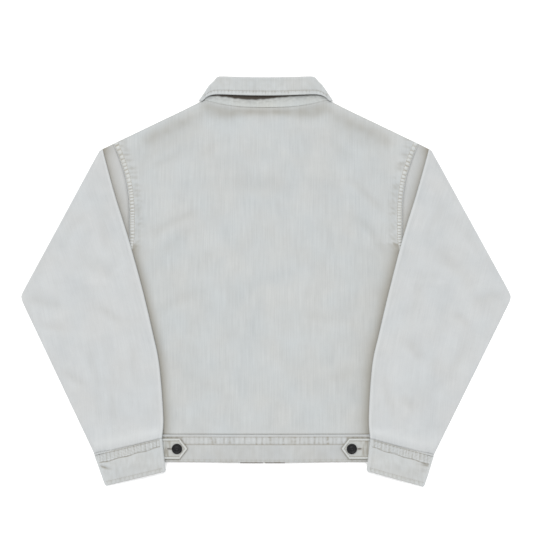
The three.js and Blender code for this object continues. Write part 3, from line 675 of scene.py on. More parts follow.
def ring(section, fullness):
    place, width, s, thickness = (section[key] for key in ("place", "width", "s", "thickness"))
    half = thickness / 2
    layer = thickness + AIR
    pleated = 0 < s < UNDERARM_AT - 1e-6
    down = clamp01(s / UNDERARM_AT)
    back_seam, front_seam = armhole(down), front_armhole(down)
    settle = smooth(s / 0.06)
    puff = fullness * settle
    pleat_at = PLEAT_OUT - place(0)[0]
    strip_height = half + PLY + SEAM + 0.1
    points = []

    def floor(reach):
        outward, y = place(reach)
        if s < UNDERARM_AT:
            return half
        return half + body_under(outward, y) + REST * fall_off(outward - half_width(y))

    def under_height(reach):
        outward, y = place(reach)
        on_back = smooth((back_seam[0] + 6 - outward) / 12)
        seat = mix(strip_height + half, back_top(MIDDLE + outward, y), on_back)
        return seat + mix(AIR, REST, on_back) + half

    def loft(reach):
        return puff * sin(pi * clamp01(reach / width)) ** 0.8

    def top_height(reach):
        if not pleated:
            return floor(reach) + layer + loft(reach)
        over_pleat = under_height(min(reach, pleat_at)) + layer
        over_floor = half + layer + loft(reach)
        return mix(over_pleat, over_floor, smooth((reach - pleat_at + 4) / 26)) + 0.35 * loft(reach)

    def push(point, height):
        points.append((point[0], point[1], height))

    def run(count, start, end, height, first=0):
        for i in range(first, count + 1):
            reach = mix(start, end, i / count)
            push(place(reach), height(reach))

    def turn(*around):
        for reach, height in half_turn(*around)[1:]:
            push(place(reach), height)

    edge_low = half if s < UNDERARM_AT + 1e-6 else floor(width)
    edge_top = edge_low + mix(PLY + SEAM, layer + 0.6, settle)
    edge_radius = (edge_top - edge_low) / 2
    fold_low = under_height(2) if pleated else floor(1.5)
    fold_high = fold_low + layer + 0.3 + FOLD_STANDS * settle
    fold_radius = (fold_high - fold_low) / 2
    if pleated:
        pleat_radius = (under_height(pleat_at) - strip_height) / 2
        turn_at = pleat_at - pleat_radius
        seam_end = (back_seam[0] + 1.2 * SEAM, back_seam[1] - SEAM * (1 - down))
        for t in spread(N_STRIP):
            push(mix_points(seam_end, place(turn_at), t),
                 mix(back_top(MIDDLE + back_seam[0], back_seam[1]) - half, strip_height, smooth(t * 1.5)))
        turn(pleat_at, strip_height, under_height(pleat_at), 1, N_HIDDEN)
        run(N_UNDER, turn_at, fold_radius, under_height, 1)
    elif s == 0:
        crown_top = half + PLY + SEAM
        for t in spread(N_STRIP):
            push(mix_points(back_seam, place(0), t), crown_top)
        for t in spread(N_HIDDEN + N_UNDER + N_FOLD)[1:]:
            push(place(0), crown_top + 0.6 * t)
        run(N_TOP, 0, width - 1, lambda reach: crown_top + 0.6 * (1 - smooth(reach / 3)), 1)
        for t in spread(N_EDGE)[1:]:
            push(place(width - 1), mix(crown_top, half, t))
    elif s < UNDERARM_AT + 1e-6:
        edge = UNDERARM[0] + 4 - place(0)[0]
        for t in spread(N_STRIP + N_HIDDEN):
            push(place(mix(seam_reach(section), edge, t)), mix(UNDERARM_HEIGHT, floor(edge) + 0.2, smooth(t)))
        run(N_UNDER, edge, fold_radius, floor, 1)
    else:
        run(N_STRIP + N_HIDDEN + N_UNDER, seam_reach(section), fold_radius, floor)
    if s > 0:
        turn(0, fold_low, fold_high, -1, N_FOLD)
        for t in spread(N_TOP)[1:]:
            reach = mix(fold_radius, width - edge_radius, mix(t, eased(t), 0.5))
            upper = mix(fold_high, top_height(reach), smooth((reach - fold_radius) / 8))
            ease_out = max(smooth((width - edge_radius - reach) / 14), 0.15 * smooth((1 - t) * 30))
            push(place(reach), mix(edge_top, upper, 0 if t == 1 else ease_out))
        turn(width, edge_top, edge_low, 1, N_EDGE)
    start = width - 1 if s == 0 else width - edge_radius
    for t in spread(N_FLOOR)[1:]:
        if s < UNDERARM_AT - 1e-6:
            push(mix_points(place(start), (front_seam[0] + SEAM, front_seam[1]), t), half)
        else:
            reach = mix(start, seam_reach(section), t)
            low = mix(half, UNDERARM_HEIGHT, smooth(t * 3 - 2))
            push(place(reach), low if s < UNDERARM_AT + 1e-6 else floor(reach))
    return points


def fullness_at(s):
    return 2.2 + 0.5 * sin(s * 9 + 1)


FOLD_END = N_STRIP + N_HIDDEN + N_UNDER + N_FOLD
TOP_END = FOLD_END + N_TOP
FIRST_PLEAT = 0.09 * UNDERARM_AT
LAST_PLEAT = 0.955 * UNDERARM_AT


def sleeve_row(shape, s):
    def whole(at):
        return ring(sleeve_section(shape, at), fullness_at(at))
    if 0 < s < FIRST_PLEAT:
        return [mix_points(p, q, s / FIRST_PLEAT) for p, q in zip(whole(0), whole(FIRST_PLEAT))]
    if LAST_PLEAT < s < UNDERARM_AT:
        share = (s - LAST_PLEAT) / (UNDERARM_AT - LAST_PLEAT)
        return [mix_points(p, q, share) for p, q in zip(whole(LAST_PLEAT), whole(UNDERARM_AT))]
    return whole(s)


def grain_of(points, start):
    rows = []
    down = 0.0
    for r, row in enumerate(points):
        if r:
            down += dist(row[start][:3], points[r - 1][start][:3])
        across = [0.0]
        for p, q in zip(row, row[1:]):
            across.append(across[-1] + dist(p[:3], q[:3]))
        rows.append([(reach - across[start], down) for reach in across])
    return rows


sleeve_stations = (spread(8, 0, FIRST_PLEAT)[:-1] + spread(70, FIRST_PLEAT, LAST_PLEAT)[:-1]
                   + spread(4, LAST_PLEAT, UNDERARM_AT)[:-1] + spread(98, UNDERARM_AT, 1.0))
sleeve_cord = corduroy("sleeve_cord", (0.479, 0.495, 0.502), (0.488, 0.496, 0.496))
for name, shape in SLEEVES.items():
    side = shape["side"]
    points = []
    for s in sleeve_stations:
        row = []
        for i, (out, y, z) in enumerate(sleeve_row(shape, s)):
            x = MIDDLE + side * out
            top_share = (i - FOLD_END) / N_TOP
            shading_and_wear = 0.0
            # Painted light on the sleeve. On its top: shade in the creases and at the cuff seam, and
            # highlights just past the fold and on the swell above the cuff. On the strip under the pleat:
            # shade that deepens toward the fold and in the hollow at its apex. Round the fold: shade on its
            # lower half and a highlight on its upper half.
            if 0 < top_share < 1 and s > 0:
                free = smooth(top_share / 0.1) * smooth((1 - top_share) / 0.1) * smooth(s / 0.1)
                free *= smooth((1 - s) / 0.03)
                crease = creased(x, y, shape["creases"])
                z += free * (1.9 * crease + 2.3 * slack(x, y, 20 + side))
                z += 0.35 * sin(2 * pi * top_share * 15 + 2 * side) * bump(s, 1.0, 0.018)
                shading_and_wear = (free * -0.16 * crease - 0.3 * bump(top_share, 0.0, 0.03) + 0.2 * bump(s, 1.0, 0.003)
                        - 0.3 * bump(s, 0.975, 0.018) * free)
            elif i <= N_STRIP and s < UNDERARM_AT:
                beside = max(inner_fold[side](y) - out, 0)
                apex_shade = 0.55 * bump(y, 224, 15) * exp(-beside / 12)
                shading_and_wear = 0.02 + 0.72 * exp(-beside / 12) + apex_shade + 0.1 * bump(i / N_STRIP, 0, 0.06)
            elif i <= FOLD_END:
                turned = (i - FOLD_END) / N_FOLD + 1
                shading_and_wear = mix(0.0, 0.45, smooth(turned * 3 + 0.6)) - 0.75 * smooth(turned * 1.4 - 0.2)
            row.append((x, y, z, shading_and_wear))
        points.append(row)
    sleeve = cloth("sleeve_" + name + "_cloth", points, PLY, sleeve_cord, grain=grain_of(points, FOLD_END))
    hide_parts("sleeve_" + name)

# Armhole seams: the seam allowance is turned toward the body and stitched down twice, and the wash has
# shrunk it into small puckers, so that it stands up as a ribbed band along the armhole.
BAND_FROM = 0.6
BAND_WIDE = 8.6
BAND_THICK = 0.7
BAND_STITCH_LINES = (0.16, 0.86)
band_puckers = corduroy("armhole_band_cord", (0.500, 0.515, 0.512), (0.500, 0.507, 0.490), streak=0.03,
                        shade_and_wear=(0.255, 0.222, 0.165))
for name, side in SIDES.items():
    edge = [armhole(t) for t in spread(440, 0.0, 0.75)]
    travelled = [0.0]
    for p, q in zip(edge, edge[1:]):
        travelled.append(travelled[-1] + hypot(q[0] - p[0], q[1] - p[1]))
    waves = [0.0]
    for far in travelled[1:]:
        apart = mix(7.6, 4.9, smooth(far / 120)) * (1 + 0.16 * sin(far / 7 + side))
        waves.append(waves[-1] + 2 * pi * (far - travelled[len(waves) - 1]) / apart)
    band_points, lines = [], {line: [] for line in BAND_STITCH_LINES}
    for i, (out, y) in enumerate(edge):
        along = straight(edge[max(i - 1, 0)], edge[min(i + 1, len(edge) - 1)])[1]
        row = []
        for w in spread(9):
            reach = BAND_FROM + w * BAND_WIDE
            x = MIDDLE + side * (out + along[1] * reach)
            py = y - along[0] * reach
            between = sin(pi * clamp01((w - 0.08) / 0.84)) ** 0.6
            uneven = 0.8 + 0.6 * cloud(travelled[i] / 11, w, side)
            wave = uneven * sin(waves[i] + 0.5 * w)
            bare = 1 - 0.6 * smooth((abs(x - MIDDLE) - inner_fold[side](py) + 3) / 4)
            relief = 0.75 * between + 0.48 * wave * between
            groove = 0.35 * sum(bump(w, line, 0.07) for line in BAND_STITCH_LINES)
            edge_down = 0.45 * (bump(w, 0, 0.07) + bump(w, 1, 0.07))
            z = back_top(x, py) + back_detail(x, py) - 0.05 + (relief - groove - edge_down) * bare
            # Painted shade in the hollows between puckers, in the stitch grooves and at the seam edge, and a
            # painted highlight on the pucker crests.
            hollow = clamp01(-wave * 1.3 - 0.15) * between
            dark = clamp01(0.7 * hollow + 0.8 * groove + 0.3 * bump(w, 0, 0.06))
            row.append((x, py, z, dark - 0.3 * clamp01(wave) * between))
            for line in lines:
                if abs(w - line) < 0.06:
                    lines[line].append((x, py, z + 0.42))
        band_points.append(row)
    band = cloth("armhole_seam_" + name, band_points, BAND_THICK, band_puckers)
    for count, line in enumerate(lines.values()):
        stitches(f"armhole_stitches_{name}_{count + 1}", line, seam_thread)

# Cuffs: a doubled band sewn round the end of each sleeve, with five close rows of stitching beside the seam
# that have drawn the cloth into fine puckers, and one more row along the hem.
band_cord = corduroy("band_cord", (0.474, 0.492, 0.496), (0.484, 0.492, 0.486))
CUFF_BAND = 0.255
CUFF_ROWS = (0.016, 0.055, 0.1, 0.145, 0.185)
CUFF_HEM_ROW = 0.885
CUFF_CORNER = 3.2
CUFF_DROP = 1.6
for name, shape in SLEEVES.items():
    side = shape["side"]
    wrist = sleeve_section(shape, 1)
    crumple = (-269.0, -303.0) if side < 0 else (266.5, -304.5)
    points = []
    cuff_t = [-0.05, -0.02] + spread(48, 0, 0.30) + spread(22, 0.30, 0.93)[1:] + spread(8, 0.93, 1.0)[1:]
    for t in cuff_t:
        width, along, _ = straight(mix_points(wrist["place"](0), shape["hem"][0], t),
                                   mix_points(wrist["place"](wrist["width"]), shape["hem"][1], t))
        rounded = CUFF_CORNER * (1 - sqrt(1 - clamp01((t - 0.935) / 0.067) ** 2))
        start = mix_points(wrist["place"](0), shape["hem"][0], t)
        start = (start[0] + along[0] * rounded, start[1] + along[1] * rounded - CUFF_DROP)
        section = {"place": lambda reach: (start[0] + along[0] * reach, start[1] + along[1] * reach),
                   "width": width - 2 * rounded, "s": 1, "thickness": DOUBLE}
        row = []
        around = ring(section, mix(2.2, 1.2, clamp01(t)))
        if t < 0:
            middle = [sum(point[axis] for point in around) / len(around) for axis in range(3)]
            tucked = 0.85 if t < -0.03 else 0.5
            around = [(mix(out, middle[0], 0.03 * tucked), y, mix(z, middle[2], tucked))
                      for out, y, z in around]
        for i, (out, y, z) in enumerate(around):
            x = MIDDLE + side * out
            top_share = (i - FOLD_END) / N_TOP
            depth = 0.0
            if 0 < top_share < 1:
                free = smooth(top_share / 0.06) * smooth((1 - top_share) / 0.06)
                grooves = sum(bump(t, line, 0.009) for line in CUFF_ROWS)
                band_end = mix(0.77, 1.02, top_share) * CUFF_BAND + 0.012 * sin(out / 5)
                in_band = smooth((band_end - t) / 0.012) * smooth((t + 0.008) / 0.016)
                pucker = ripple(out, 5.7, 1.6, 9, 4 * t + side) * in_band
                hem_pucker = ripple(out, 7.3, phase=side) * bump(t, 0.93, 0.05)
                fold = bump(x, crumple[0], 13) * bump(y, crumple[1] - 3.0, 6)
                wrinkle = fold * sin((y - crumple[1]) / 1.9 + x / 8)
                beyond = smooth((t - CUFF_BAND) / 0.1)
                z += free * (0.85 * in_band - 0.3 * grooves + 0.17 * pucker
                             + 2.2 * slack(x, y, 40 + side) * beyond
                             - 0.3 * bump(t, CUFF_HEM_ROW, 0.018) + 0.22 * hem_pucker) - 1.5 * wrinkle
                # Painted shade in the stitch grooves, the pucker hollows and the crumple, along the cuff
                # seam, the hem row and the hem edge, and as a shadow under the edge of the raised band;
                # painted highlights on the pucker crests. The streaked noise makes it uneven and adds a
                # little tone below the band.
                streaked = cloudy(out / 4, t * 4, side)
                shadow_below_band = (0.45 + 0.7 * streaked) * bump(t, band_end + 0.01, 0.02)
                depth = (0.35 * grooves * in_band + 0.45 * clamp01(-pucker) * streaked
                         + (0.75 + 0.6 * top_share) * shadow_below_band + 0.9 * clamp01(wrinkle)
                         + 0.5 * bump(t, 0.0, 0.012) + 0.35 * bump(t, CUFF_HEM_ROW, 0.014)
                         + 0.3 * clamp01(-hem_pucker) + 0.45 * bump(t, 1.0, 0.01) + 0.14 * streaked * beyond)
                depth = clamp01(depth * free) - 0.25 * clamp01(pucker) * free
            row.append((x, y, z, depth))
        points.append(row)
    cuff = cloth("cuff_" + name + "_band", points, DOUBLE, band_cord, grain=grain_of(points, FOLD_END))
    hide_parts("cuff_" + name)
    for count, line in enumerate((*CUFF_ROWS, CUFF_HEM_ROW)):
        path = over(points[nearest_to(cuff_t, line)][FOLD_END + 1:TOP_END])
        stitches(f"cuff_stitches_{name}_{count + 1}", path, seam_thread,
                                  pitch=3.8, long=2.2)

# Waistband: one long doubled strip from front edge to front edge, folded round the sides of the body,
# with two rows of stitching under its top seam, shrunk into upright puckers, with painted shade in the
# hollows between them.
BAND_DROP = WAIST[1] - HEM_Y
BAND_ROWS = (0.10, 0.35)
BAND_HEM_ROW = 0.92
HEM_STRIP_HEIGHT = 0.9
HEM_STRIP_THICK = 0.6
side_top = WAISTBAND_TOP - DOUBLE / 2
turn_radius = (side_top - DOUBLE / 2) / 2
turn_at = WAIST[0] - turn_radius
band_path = [(mix(FRONT_MIDDLE - FRONT_GAP, MIDDLE - turn_at, t), DOUBLE / 2) for t in spread(60)]
side_turn = half_turn(WAIST[0], DOUBLE / 2, side_top, 1, 8)[1:]
band_path += [(MIDDLE - reach, height) for reach, height in side_turn]
top_first = len(band_path)
for t in spread(300)[1:-1]:
    x = MIDDLE + mix(-turn_at, turn_at, t)
    band_path.append((x, waistband_top(x) - DOUBLE / 2))
top_last = len(band_path)
band_path.append((MIDDLE + turn_at, side_top))
band_path += [(MIDDLE + reach, height) for reach, height in side_turn[::-1][1:]]
band_path += [(mix(FRONT_MIDDLE + FRONT_GAP, MIDDLE + turn_at, t), DOUBLE / 2) for t in spread(60)[::-1]]
band_rng = random.Random(5)
pucker_at = []
x = -240.0
while x < 240:
    pucker_at.append((x, band_rng.uniform(0.35, 1.0), band_rng.uniform(1.3, 2.6)))
    x += band_rng.uniform(5.2, 10.4)


def band_pucker(x):
    return sum(height * bump(x, place, width) for place, height, width in pucker_at if abs(x - place) < 8)


waistband_cord = corduroy("waistband_cord", (0.436, 0.449, 0.452), (0.444, 0.449, 0.441))
band_t = spread(36, 0, 0.45) + spread(18, 0.45, 1.0)[1:]


def band_station(t, i):
    x, z = band_path[i]
    hem_rise = 0.6 * cos((x - MIDDLE) / 76)
    y = WAIST[1] - SEAM - (BAND_DROP - SEAM + hem_rise * t) * t
    shading_and_wear = 0.0
    if top_first <= i < top_last:
        free = smooth((WAIST[0] - abs(x - MIDDLE)) / 20)
        between = smooth((t - 0.05) / 0.06) * smooth((0.39 - t) / 0.05)
        hollow = band_pucker(x + 0.5 * sin(t * 9 + x / 5))
        grooves = sum(bump(t, line, 0.022) for line in BAND_ROWS)
        hem_pucker = ripple(x, 8.3, 2, 29) * bump(t, 0.95, 0.06)
        z += free * (0.6 * smooth((0.38 - t) / 0.02) - 1.0 * hollow * between - 0.3 * grooves
                     + 1.6 * slack(x, y, 60) * smooth((t - 0.42) / 0.1) + 0.2 * hem_pucker)
        # Painted shade in the pucker hollows and stitch grooves, in the hem's pucker hollows and along its
        # edge, as a shadow round each tab and under the step at the foot of the puckered band; painted
        # highlights on the pucker crests. The patchy and ragged noise make it uneven and tone the lower band.
        patchy = cloudy(x / 9, y / 14, 12, 0.45, 1.3)
        tab_out = abs(x - MIDDLE) - (TAB_TIP + (1.5 if x < 0 else -3.5))
        tab_edge = max(abs(y - TAB_Y) - TAB_HALF, (abs(y - TAB_Y) * 0.74 - tab_out) * 0.8)
        ragged = cloudy(x / 5, y / 4, 31, 0.55)
        shading_and_wear = (0.95 * hollow * between * ragged + 0.3 * grooves
                + 0.8 * bump(t, 1.0, 0.025) * (0.4 + 0.6 * patchy)
                + 0.12 * patchy * smooth((t - 0.36) / 0.1) + 0.25 * clamp01(-hem_pucker)
                + 0.6 * bump(tab_edge, 0.5, 1.6) + 0.5 * bump(t, 0.372, 0.012))
        shading_and_wear = clamp01(shading_and_wear) - 0.36 * (1 - hollow) * between * bump(t, 0.22, 0.12) * ragged
    return (x, y, z, shading_and_wear)


points = grid(band_t, range(len(band_path)), band_station)
waistband = cloth("waistband_strip", points, DOUBLE, waistband_cord)
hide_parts("waistband")
for count, line in enumerate((*BAND_ROWS, BAND_HEM_ROW)):
    path = over(points[nearest_to(band_t, line)][top_first + 6:top_last - 6])
    stitches(f"waistband_stitches_{count + 1}", path, seam_thread)
# Two dark brown strips lie along the front hem on each side of the zip and show just below its edge.
hem_strip_brown = corduroy("hem_strip_brown", (0.075, 0.052, 0.038), (0.09, 0.062, 0.042), wale=0.8, streak=0.02)
for name, first, last in (("left", -43.5, -6.0), ("right", -2.0, 30.5)):
    hem_strip_points = grid(spread(4, HEM_Y + 3, HEM_Y - 2.1), spread(20, first, last),
                         lambda y, x: (x, y, HEM_STRIP_HEIGHT))
    hem_strip = cloth("hem_facing_" + name, hem_strip_points, HEM_STRIP_THICK, hem_strip_brown)

# Collar: a stand sewn to the neck, and a fall that turns over it in a soft roll and comes down outside it.
# Both run round the neck to the zip, so that on the underside the leaves lie flat on the table.
ROLL_OUT = 83.0
ROLL_Y = 331.8
FRONT_ROLL_Y = 244.0
ROLL_RADIUS = 1.8
ROLL_SEAM = 1.2
EDGE_OUT = 109.8
EDGE_Y = 299.0
BACK_EDGE_Y = 305.5
BACK_COLLAR_Y = 285
LEAF_POINT = (36.0, 178.0)
STAND_HEIGHTS = (7.7, 6.7, 3.8)
FALL_HEIGHTS = (12.0, 9.6, 1.0)
collar_stops = ([("back", t) for t in spread(100)] + [("turn", t) for t in spread(14)[1:-1]]
                + [("front", t) for t in spread(50)])


def collar_point(stop, out, back_y, front_at, heights):
    top, side, low = heights
    radius = (side - low) / 2
    inset = out - radius
    part, t = stop
    if part == "back":
        return (inset * t, back_y(t), mix(top, side, t ** 3))
    if part == "turn":
        angle = pi * (0.5 - t)
        return (inset + radius * cos(angle), mix(back_y(1), front_at(0)[1], t),
                (side + low) / 2 + radius * sin(angle))
    x, y = front_at(t)
    return (min(x, inset), y, low)


def quarter(out, start, end):
    last = acos((FRONT_GAP + 1) / out)
    return lambda t: (out * cos(t * last), mix(start, end, sin(t * last)))


def roll_y(t):
    return ROLL_Y + 2.4 * t * t


def neck_seam(stop):
    return collar_point(stop, NECK_OUT - 2, lambda t: back_neck(t * 97) + 0.4,
                        quarter(NECK_OUT - 2, 298.5, FRONT_NECK_Y + 1.2), STAND_HEIGHTS)


def stand_roll(stop, out=ROLL_OUT - 3, heights=STAND_HEIGHTS):
    return collar_point(stop, out, roll_y, quarter(out, roll_y(1), FRONT_ROLL_Y), heights)


def fall_roll(stop):
    return stand_roll(stop, ROLL_OUT, FALL_HEIGHTS)


def fall_edge_y(t):
    return BACK_EDGE_Y + 4.4 * t * t - 13.6 * t ** 11


def fall_edge(stop):
    return collar_point(stop, EDGE_OUT, fall_edge_y,
                        lambda t: (mix(EDGE_OUT, LEAF_POINT[0], t),
                                   mix(EDGE_Y, LEAF_POINT[1], t) - 5 * sin(pi * t)),
                        (FALL_HEIGHTS[0] + 0.6, *FALL_HEIGHTS[1:]))


def round_turn(stop, t):
    start, end, low = stand_roll(stop), fall_roll(stop), neck_seam(stop)
    angle = pi * (t - 0.5)
    rise = hypot(start[0] - low[0], start[1] - low[1])
    reach = (ROLL_RADIUS * cos(angle) + ROLL_SEAM) / rise
    middle = mix_points(start, end, 0.5 + 0.5 * sin(angle))
    return (middle[0] + (start[0] - low[0]) * reach, middle[1] + (start[1] - low[1]) * reach, middle[2])


def both_sides(point):
    left = [(MIDDLE - x, y, z) for x, y, z in map(point, collar_stops[:0:-1])]
    return left + [(MIDDLE + x, y, z) for x, y, z in map(point, collar_stops)]


# Painted shadow on the collar stand: a near-black band under the lower edge of the fall, widest a little left
# of the middle and fading out about 11 mm higher, with a softer uneven shade at its foot.
def stand_painted_shadow(x, y):
    if y <= BACK_COLLAR_Y:
        return 0.0
    gap = mix(3.2, 9.0, bump(x, -26, 48)) + 0.9 * cloud(x / 7, 0, 5)
    dark_edge = fall_edge_y(min(abs(x - MIDDLE) / EDGE_OUT, 1)) - gap
    dark_band = 1 - smooth((y - dark_edge - 11) / 4)
    return max(0.96 * smooth((y - dark_edge) / 3.6) * dark_band,
               0.25 * bump(y, dark_edge, 5.0) * cloudy(x / 6, y / 3, 2, 0.6, 1))


stand_points = []
for h in spread(40):
    row = both_sides(lambda stop: mix_points(neck_seam(stop), stand_roll(stop), h))
    stand_points.append([(x, y, z + 0.12 * ripple(x, 6.7) * bump(h, 0.08, 0.09), stand_painted_shadow(x, y))
                         for x, y, z in row])
# Its near-black tint is the colour of the painted shadow under the fall.
stand_cord = corduroy("stand_cord", (0.470, 0.492, 0.492), (0.482, 0.490, 0.470), streak=0.085,
                      shade_and_wear=(0.045, 0.034, 0.025))
collar_stand = cloth("collar_stand_band", stand_points, DOUBLE, stand_cord)
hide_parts("collar_stand")

CORNERS = (-84.5, 82.5)
FALL_ROW = 0.74
TURN_ROWS = 8


def rounded_corner(x, y, z):
    for corner in CORNERS:
        lean = copysign(1, corner)
        near = bump((x - corner) * lean, 2.0, 7.0) * smooth((y - 318) / 14)
        x -= lean * 0.6 * near
        y -= 2.3 * near
    side = copysign(1, x - MIDDLE)
    swell = bump(y, 325, 13) * smooth((abs(x - MIDDLE) - 74) / 12)
    return (x + side * 1.0 * swell, y + 0.6 * swell, z)


fall_points = [[rounded_corner(*point) for point in both_sides(lambda stop: round_turn(stop, t))]
               for t in spread(TURN_ROWS)]
fall_g = spread(30, 0.02, 0.93) + spread(10, 0.93, 1.0)[1:]
for g in fall_g:
    row = []
    for x, y, z in both_sides(lambda stop: mix_points(fall_roll(stop), fall_edge(stop), g)):
        at_back = smooth((110 - abs(x - MIDDLE)) / 14) * smooth((y - BACK_COLLAR_Y) / 10)
        stitched = bump(g, FALL_ROW, 0.035)
        pucker = ripple(x, 5.5, 1.6, 17) * bump(g, 0.84, 0.12)
        edge_roll = 0.5 * bump(g, 0.9, 0.07) - 0.9 * smooth((g - 0.95) / 0.05)
        z += at_back * (0.42 * pucker - 0.4 * stitched + edge_roll + 1.4 * slack(x, y, 80)
                        + 1.3 * smooth(g / 0.8))
        # Painted shade in the stitch groove, the pucker hollows and on the turned-under lower edge, and a
        # painted highlight on the roll of the lip. The blotchy noise makes it uneven and adds a little tone.
        blotchy = cloudy(x / 8, y / 8, 44)
        shading_and_wear = at_back * (0.35 * stitched + 0.55 * clamp01(-pucker) * blotchy - 0.45 * bump(g, 0.93, 0.05)
                          + 0.5 * smooth((g - 0.975) / 0.025) + 0.1 * blotchy)
        row.append((*rounded_corner(x, y, z), shading_and_wear))
    fall_points.append(row)
collar_fall = cloth("collar_fall_band", fall_points, DOUBLE, pale_cord)
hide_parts("collar_fall")
sewn = fall_points[TURN_ROWS + 1 + nearest_to(fall_g, FALL_ROW)]
sewn = [point for point in sewn if abs(point[0] - MIDDLE) < 105 and point[1] > 280]
collar_stitches = stitches("collar_stitches", over(sewn, 0.06), seam_thread)

# Adjuster tabs: two short pointed straps on the waistband, each edge-stitched, with a worked buttonhole.
# A dark dished button with a raised rim holds each one down.
BUTTON_OUT = 145.2
TAB_THICK = DOUBLE - 0.3
HOLE_BEYOND = 12.6
HOLE_RADII = (4.6, 0.75, 0.3)
WHIP_REACH = (5.2, 1.35)
WHIP_RADII = (0.34, 0.95, 0.34)
WHIP_COUNT = 46
ROW_INSET = 3.6
# Painted light round each tab, as (amount, mm in from the edge): a shadow at the edge, shade in the groove
# inside the raised rim and a highlight on the rim.
TAB_EDGE_SHADING = ((0.85, 0.0), (0.5, 4.0), (-0.3, 1.8))
BUTTON_PROFILE = ((1.6, 0), (7.4, 0), (8.2, 0.4), (8.6, 1.1), (8.6, 1.8), (8.2, 2.5), (7.6, 2.9),
                  (6.9, 3.0), (6.3, 2.7), (5.9, 2.1), (4.4, 1.9), (3.4, 2.2), (2.9, 2.7), (2.2, 2.8),
                  (1.0, 2.5), (0, 2.4))
tab_cord = corduroy("tab_cord", (0.480, 0.497, 0.492), (0.490, 0.494, 0.472))
slit_shade = sewing_thread("slit_shade", (0.045, 0.035, 0.028))
whip_thread = sewing_thread("whip_thread", (0.46, 0.45, 0.42))
button_black = speckled("button_black", {"Scale": 420, "Detail": 4}, (0.35, (0.007, 0.007, 0.008)),
                        (0.72, (0.016, 0.016, 0.017)),
                        {"Roughness": 0.36, "Specular IOR Level": 0.2, "Metallic": 0.15})[0]

for name, side, tip in (("left", -1, 130.0), ("right", 1, 125.0)):
    shift = tip - TAB_TIP
    shoulder = TAB_SHOULDER + shift
    slant = (shoulder - tip) / hypot(shoulder - tip, TAB_HALF)
    eye = BUTTON_OUT + shift

    def tab_station(w, out):
        taper = mix(0.05, 1.0, clamp01((out - tip) / (shoulder - tip)))
        y = TAB_Y + w * TAB_HALF * taper
        from_edge = (1 - abs(w)) * TAB_HALF * taper * (slant if out < shoulder else 1)
        from_edge = min(from_edge, (out - tip) * 1.2 + 0.1)
        rim = 0.42 * bump(from_edge, 1.7, 1.3) - 0.4 * bump(from_edge, 3.7, 1.0)
        z = TAB_TOP - DOUBLE / 2 + 0.6 + rim - 0.4 * (1 - smooth(from_edge / 0.9))
        z += 0.9 * slack(2 * out, 2 * y, 90 + side) + 0.2 * ripple(out, 5.2) * bump(from_edge, 3.6, 2)
        z -= 0.5 * bump(hypot(out - eye, y - TAB_Y), 0, 9)
        streaked = cloudy(out / 3.2, y / 17, side, 0.3, 2.2)
        inner = smooth((from_edge - 3) / 2) * (0.2 + 0.6 * streaked * smooth((out - 150) / 12))
        edge_shading = sum(deep * bump(from_edge, at, 0.9) for deep, at in TAB_EDGE_SHADING)
        return (MIDDLE + side * out, y, z, edge_shading + inner)

    tab_out = spread(16, tip, shoulder) + spread(56, shoulder, TAB_BASE)[1:]
    strap = cloth("tab_" + name + "_strap", grid(spread(36, -1.0, 1.0), tab_out, tab_station), TAB_THICK,
                  tab_cord)
    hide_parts("tab_" + name)
    corner = shoulder + 1.2
    row_half = TAB_HALF - ROW_INSET
    outline = [(TAB_BASE - 2, -row_half), (corner, -row_half), (tip + 4.4, 0), (corner, row_half),
               (TAB_BASE - 2, row_half)]
    top = TAB_TOP + 0.52
    edge_row = stitches(f"tab_stitches_{name}", [(MIDDLE + side * x, TAB_Y + y, top) for x, y in outline],
                        seam_thread, pitch=3.0, long=2.3)
    hole_x = MIDDLE + side * (eye + HOLE_BEYOND)
    # The buttonhole is not cut: a flat dark lens on the tab paints the shade inside its slit.
    hole = bmesh.new()
    bead(hole, (hole_x, TAB_Y, top + 0.1), HOLE_RADII, round_it=(16, 8))
    slit = piece_from("buttonhole_slit_" + name, hole, slit_shade)
    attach(slit, "jacket")
    whip = bmesh.new()
    for angle in spread(WHIP_COUNT, 0.0, 2 * pi)[:-1]:
        centre = (hole_x + side * WHIP_REACH[0] * cos(angle), TAB_Y + WHIP_REACH[1] * sin(angle), top + 0.15)
        bead(whip, centre, WHIP_RADII)
    whipping = piece_from("buttonhole_whipping_" + name, whip, whip_thread)
    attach(whipping, "jacket")

    foot, under = WAISTBAND_TOP + SEAM, TAB_TOP + SEAM
    profile = [(0, foot), (1.6, foot)] + [(r, under + rise) for r, rise in BUTTON_PROFILE]
    lathe = bmesh.new()
    verts = [lathe.verts.new((r * MM, 0, z * MM)) for r, z in profile]
    ring_edges = [lathe.edges.new(pair) for pair in zip(verts, verts[1:])]
    bmesh.ops.spin(lathe, geom=verts + ring_edges, axis=(0, 0, 1), cent=(0, 0, 0), angle=2 * pi,
                   steps=48, use_merge=True)
    bmesh.ops.remove_doubles(lathe, verts=lathe.verts, dist=1e-6)
    bmesh.ops.recalc_face_normals(lathe, faces=lathe.faces)
    bmesh.ops.translate(lathe, verts=lathe.verts, vec=((MIDDLE + side * eye) * MM, TAB_Y * MM, 0))
    for face in lathe.faces:
        face.smooth = True
    button = piece_from("button_" + name, lathe, button_black)
    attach(button, "jacket")
    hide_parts("tab_button_" + name)

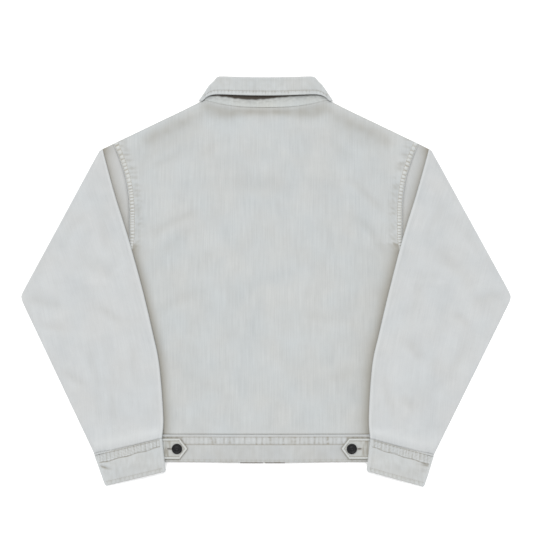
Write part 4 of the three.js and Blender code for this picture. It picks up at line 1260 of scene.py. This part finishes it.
# Zip: a woven tape inside each front edge with brass teeth along it, and a slider at the neck whose pull
# tab swings on a bridge. All of it is hidden under the back and shows only from below.
TAPE_FROM = 1.1
TAPE_WIDE = 14.0
TAPE_THICK = 0.7
TAPE_SEAT = 0.5
TOOTH_PITCH = 3.2
TOOTH_SIZE = (3.4, 1.2, 1.7)
SLIDER_Y = 196
SLIDER_REACH = 8
tape_weave = corduroy("tape_weave", (0.16, 0.125, 0.09), (0.15, 0.115, 0.08), wale=0.8, streak=0.02)
aged_brass, tarnish = speckled("aged_brass", {"Scale": 300, "Detail": 5}, (0.3, (0.11, 0.075, 0.035)),
                               (0.7, (0.36, 0.27, 0.14)), {"Metallic": 0.9})
brass_rough = add_node(aged_brass, "MapRange", {"Value": tarnish, "To Min": 0.3, "To Max": 0.55})["Result"]
shade_with(aged_brass, {"Roughness": brass_rough})


def tape_height(x, y):
    seat = DOUBLE if y < BAND_EDGE else PLY
    return seat + lift(x, y) + TAPE_SEAT + TAPE_THICK / 2


for name, side in SIDES.items():
    across = [FRONT_MIDDLE + side * out for out in spread(8, TAPE_FROM, TAPE_WIDE)]
    points = grid(spread(120, FRONT_NECK_Y - 3, HEM_Y + 3), across, lambda y, x: (x, y, tape_height(x, y)))
    dark_band = cloth("zip_tape_" + name + "_weave", points, TAPE_THICK, tape_weave)
    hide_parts("zip_tape_" + name)
    chain = bmesh.new()
    y = HEM_Y + 6 + (0 if side < 0 else TOOTH_PITCH / 2)
    while y < FRONT_NECK_Y - 6:
        if abs(y - SLIDER_Y) > SLIDER_REACH:
            centre = (FRONT_MIDDLE + side, y, tape_height(FRONT_MIDDLE, y))
            bmesh.ops.create_cube(chain, size=1, matrix=placed(centre, TOOTH_SIZE))
        y += TOOTH_PITCH
    teeth = piece_from("zip_teeth_" + name, chain, aged_brass)
    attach(teeth, "jacket")

for node in ("zip_slider", "zip_pull_tab"):
    metal = bpy.data.objects[node]
    metal.data.materials.clear()
    metal.data.materials.append(aged_brass)
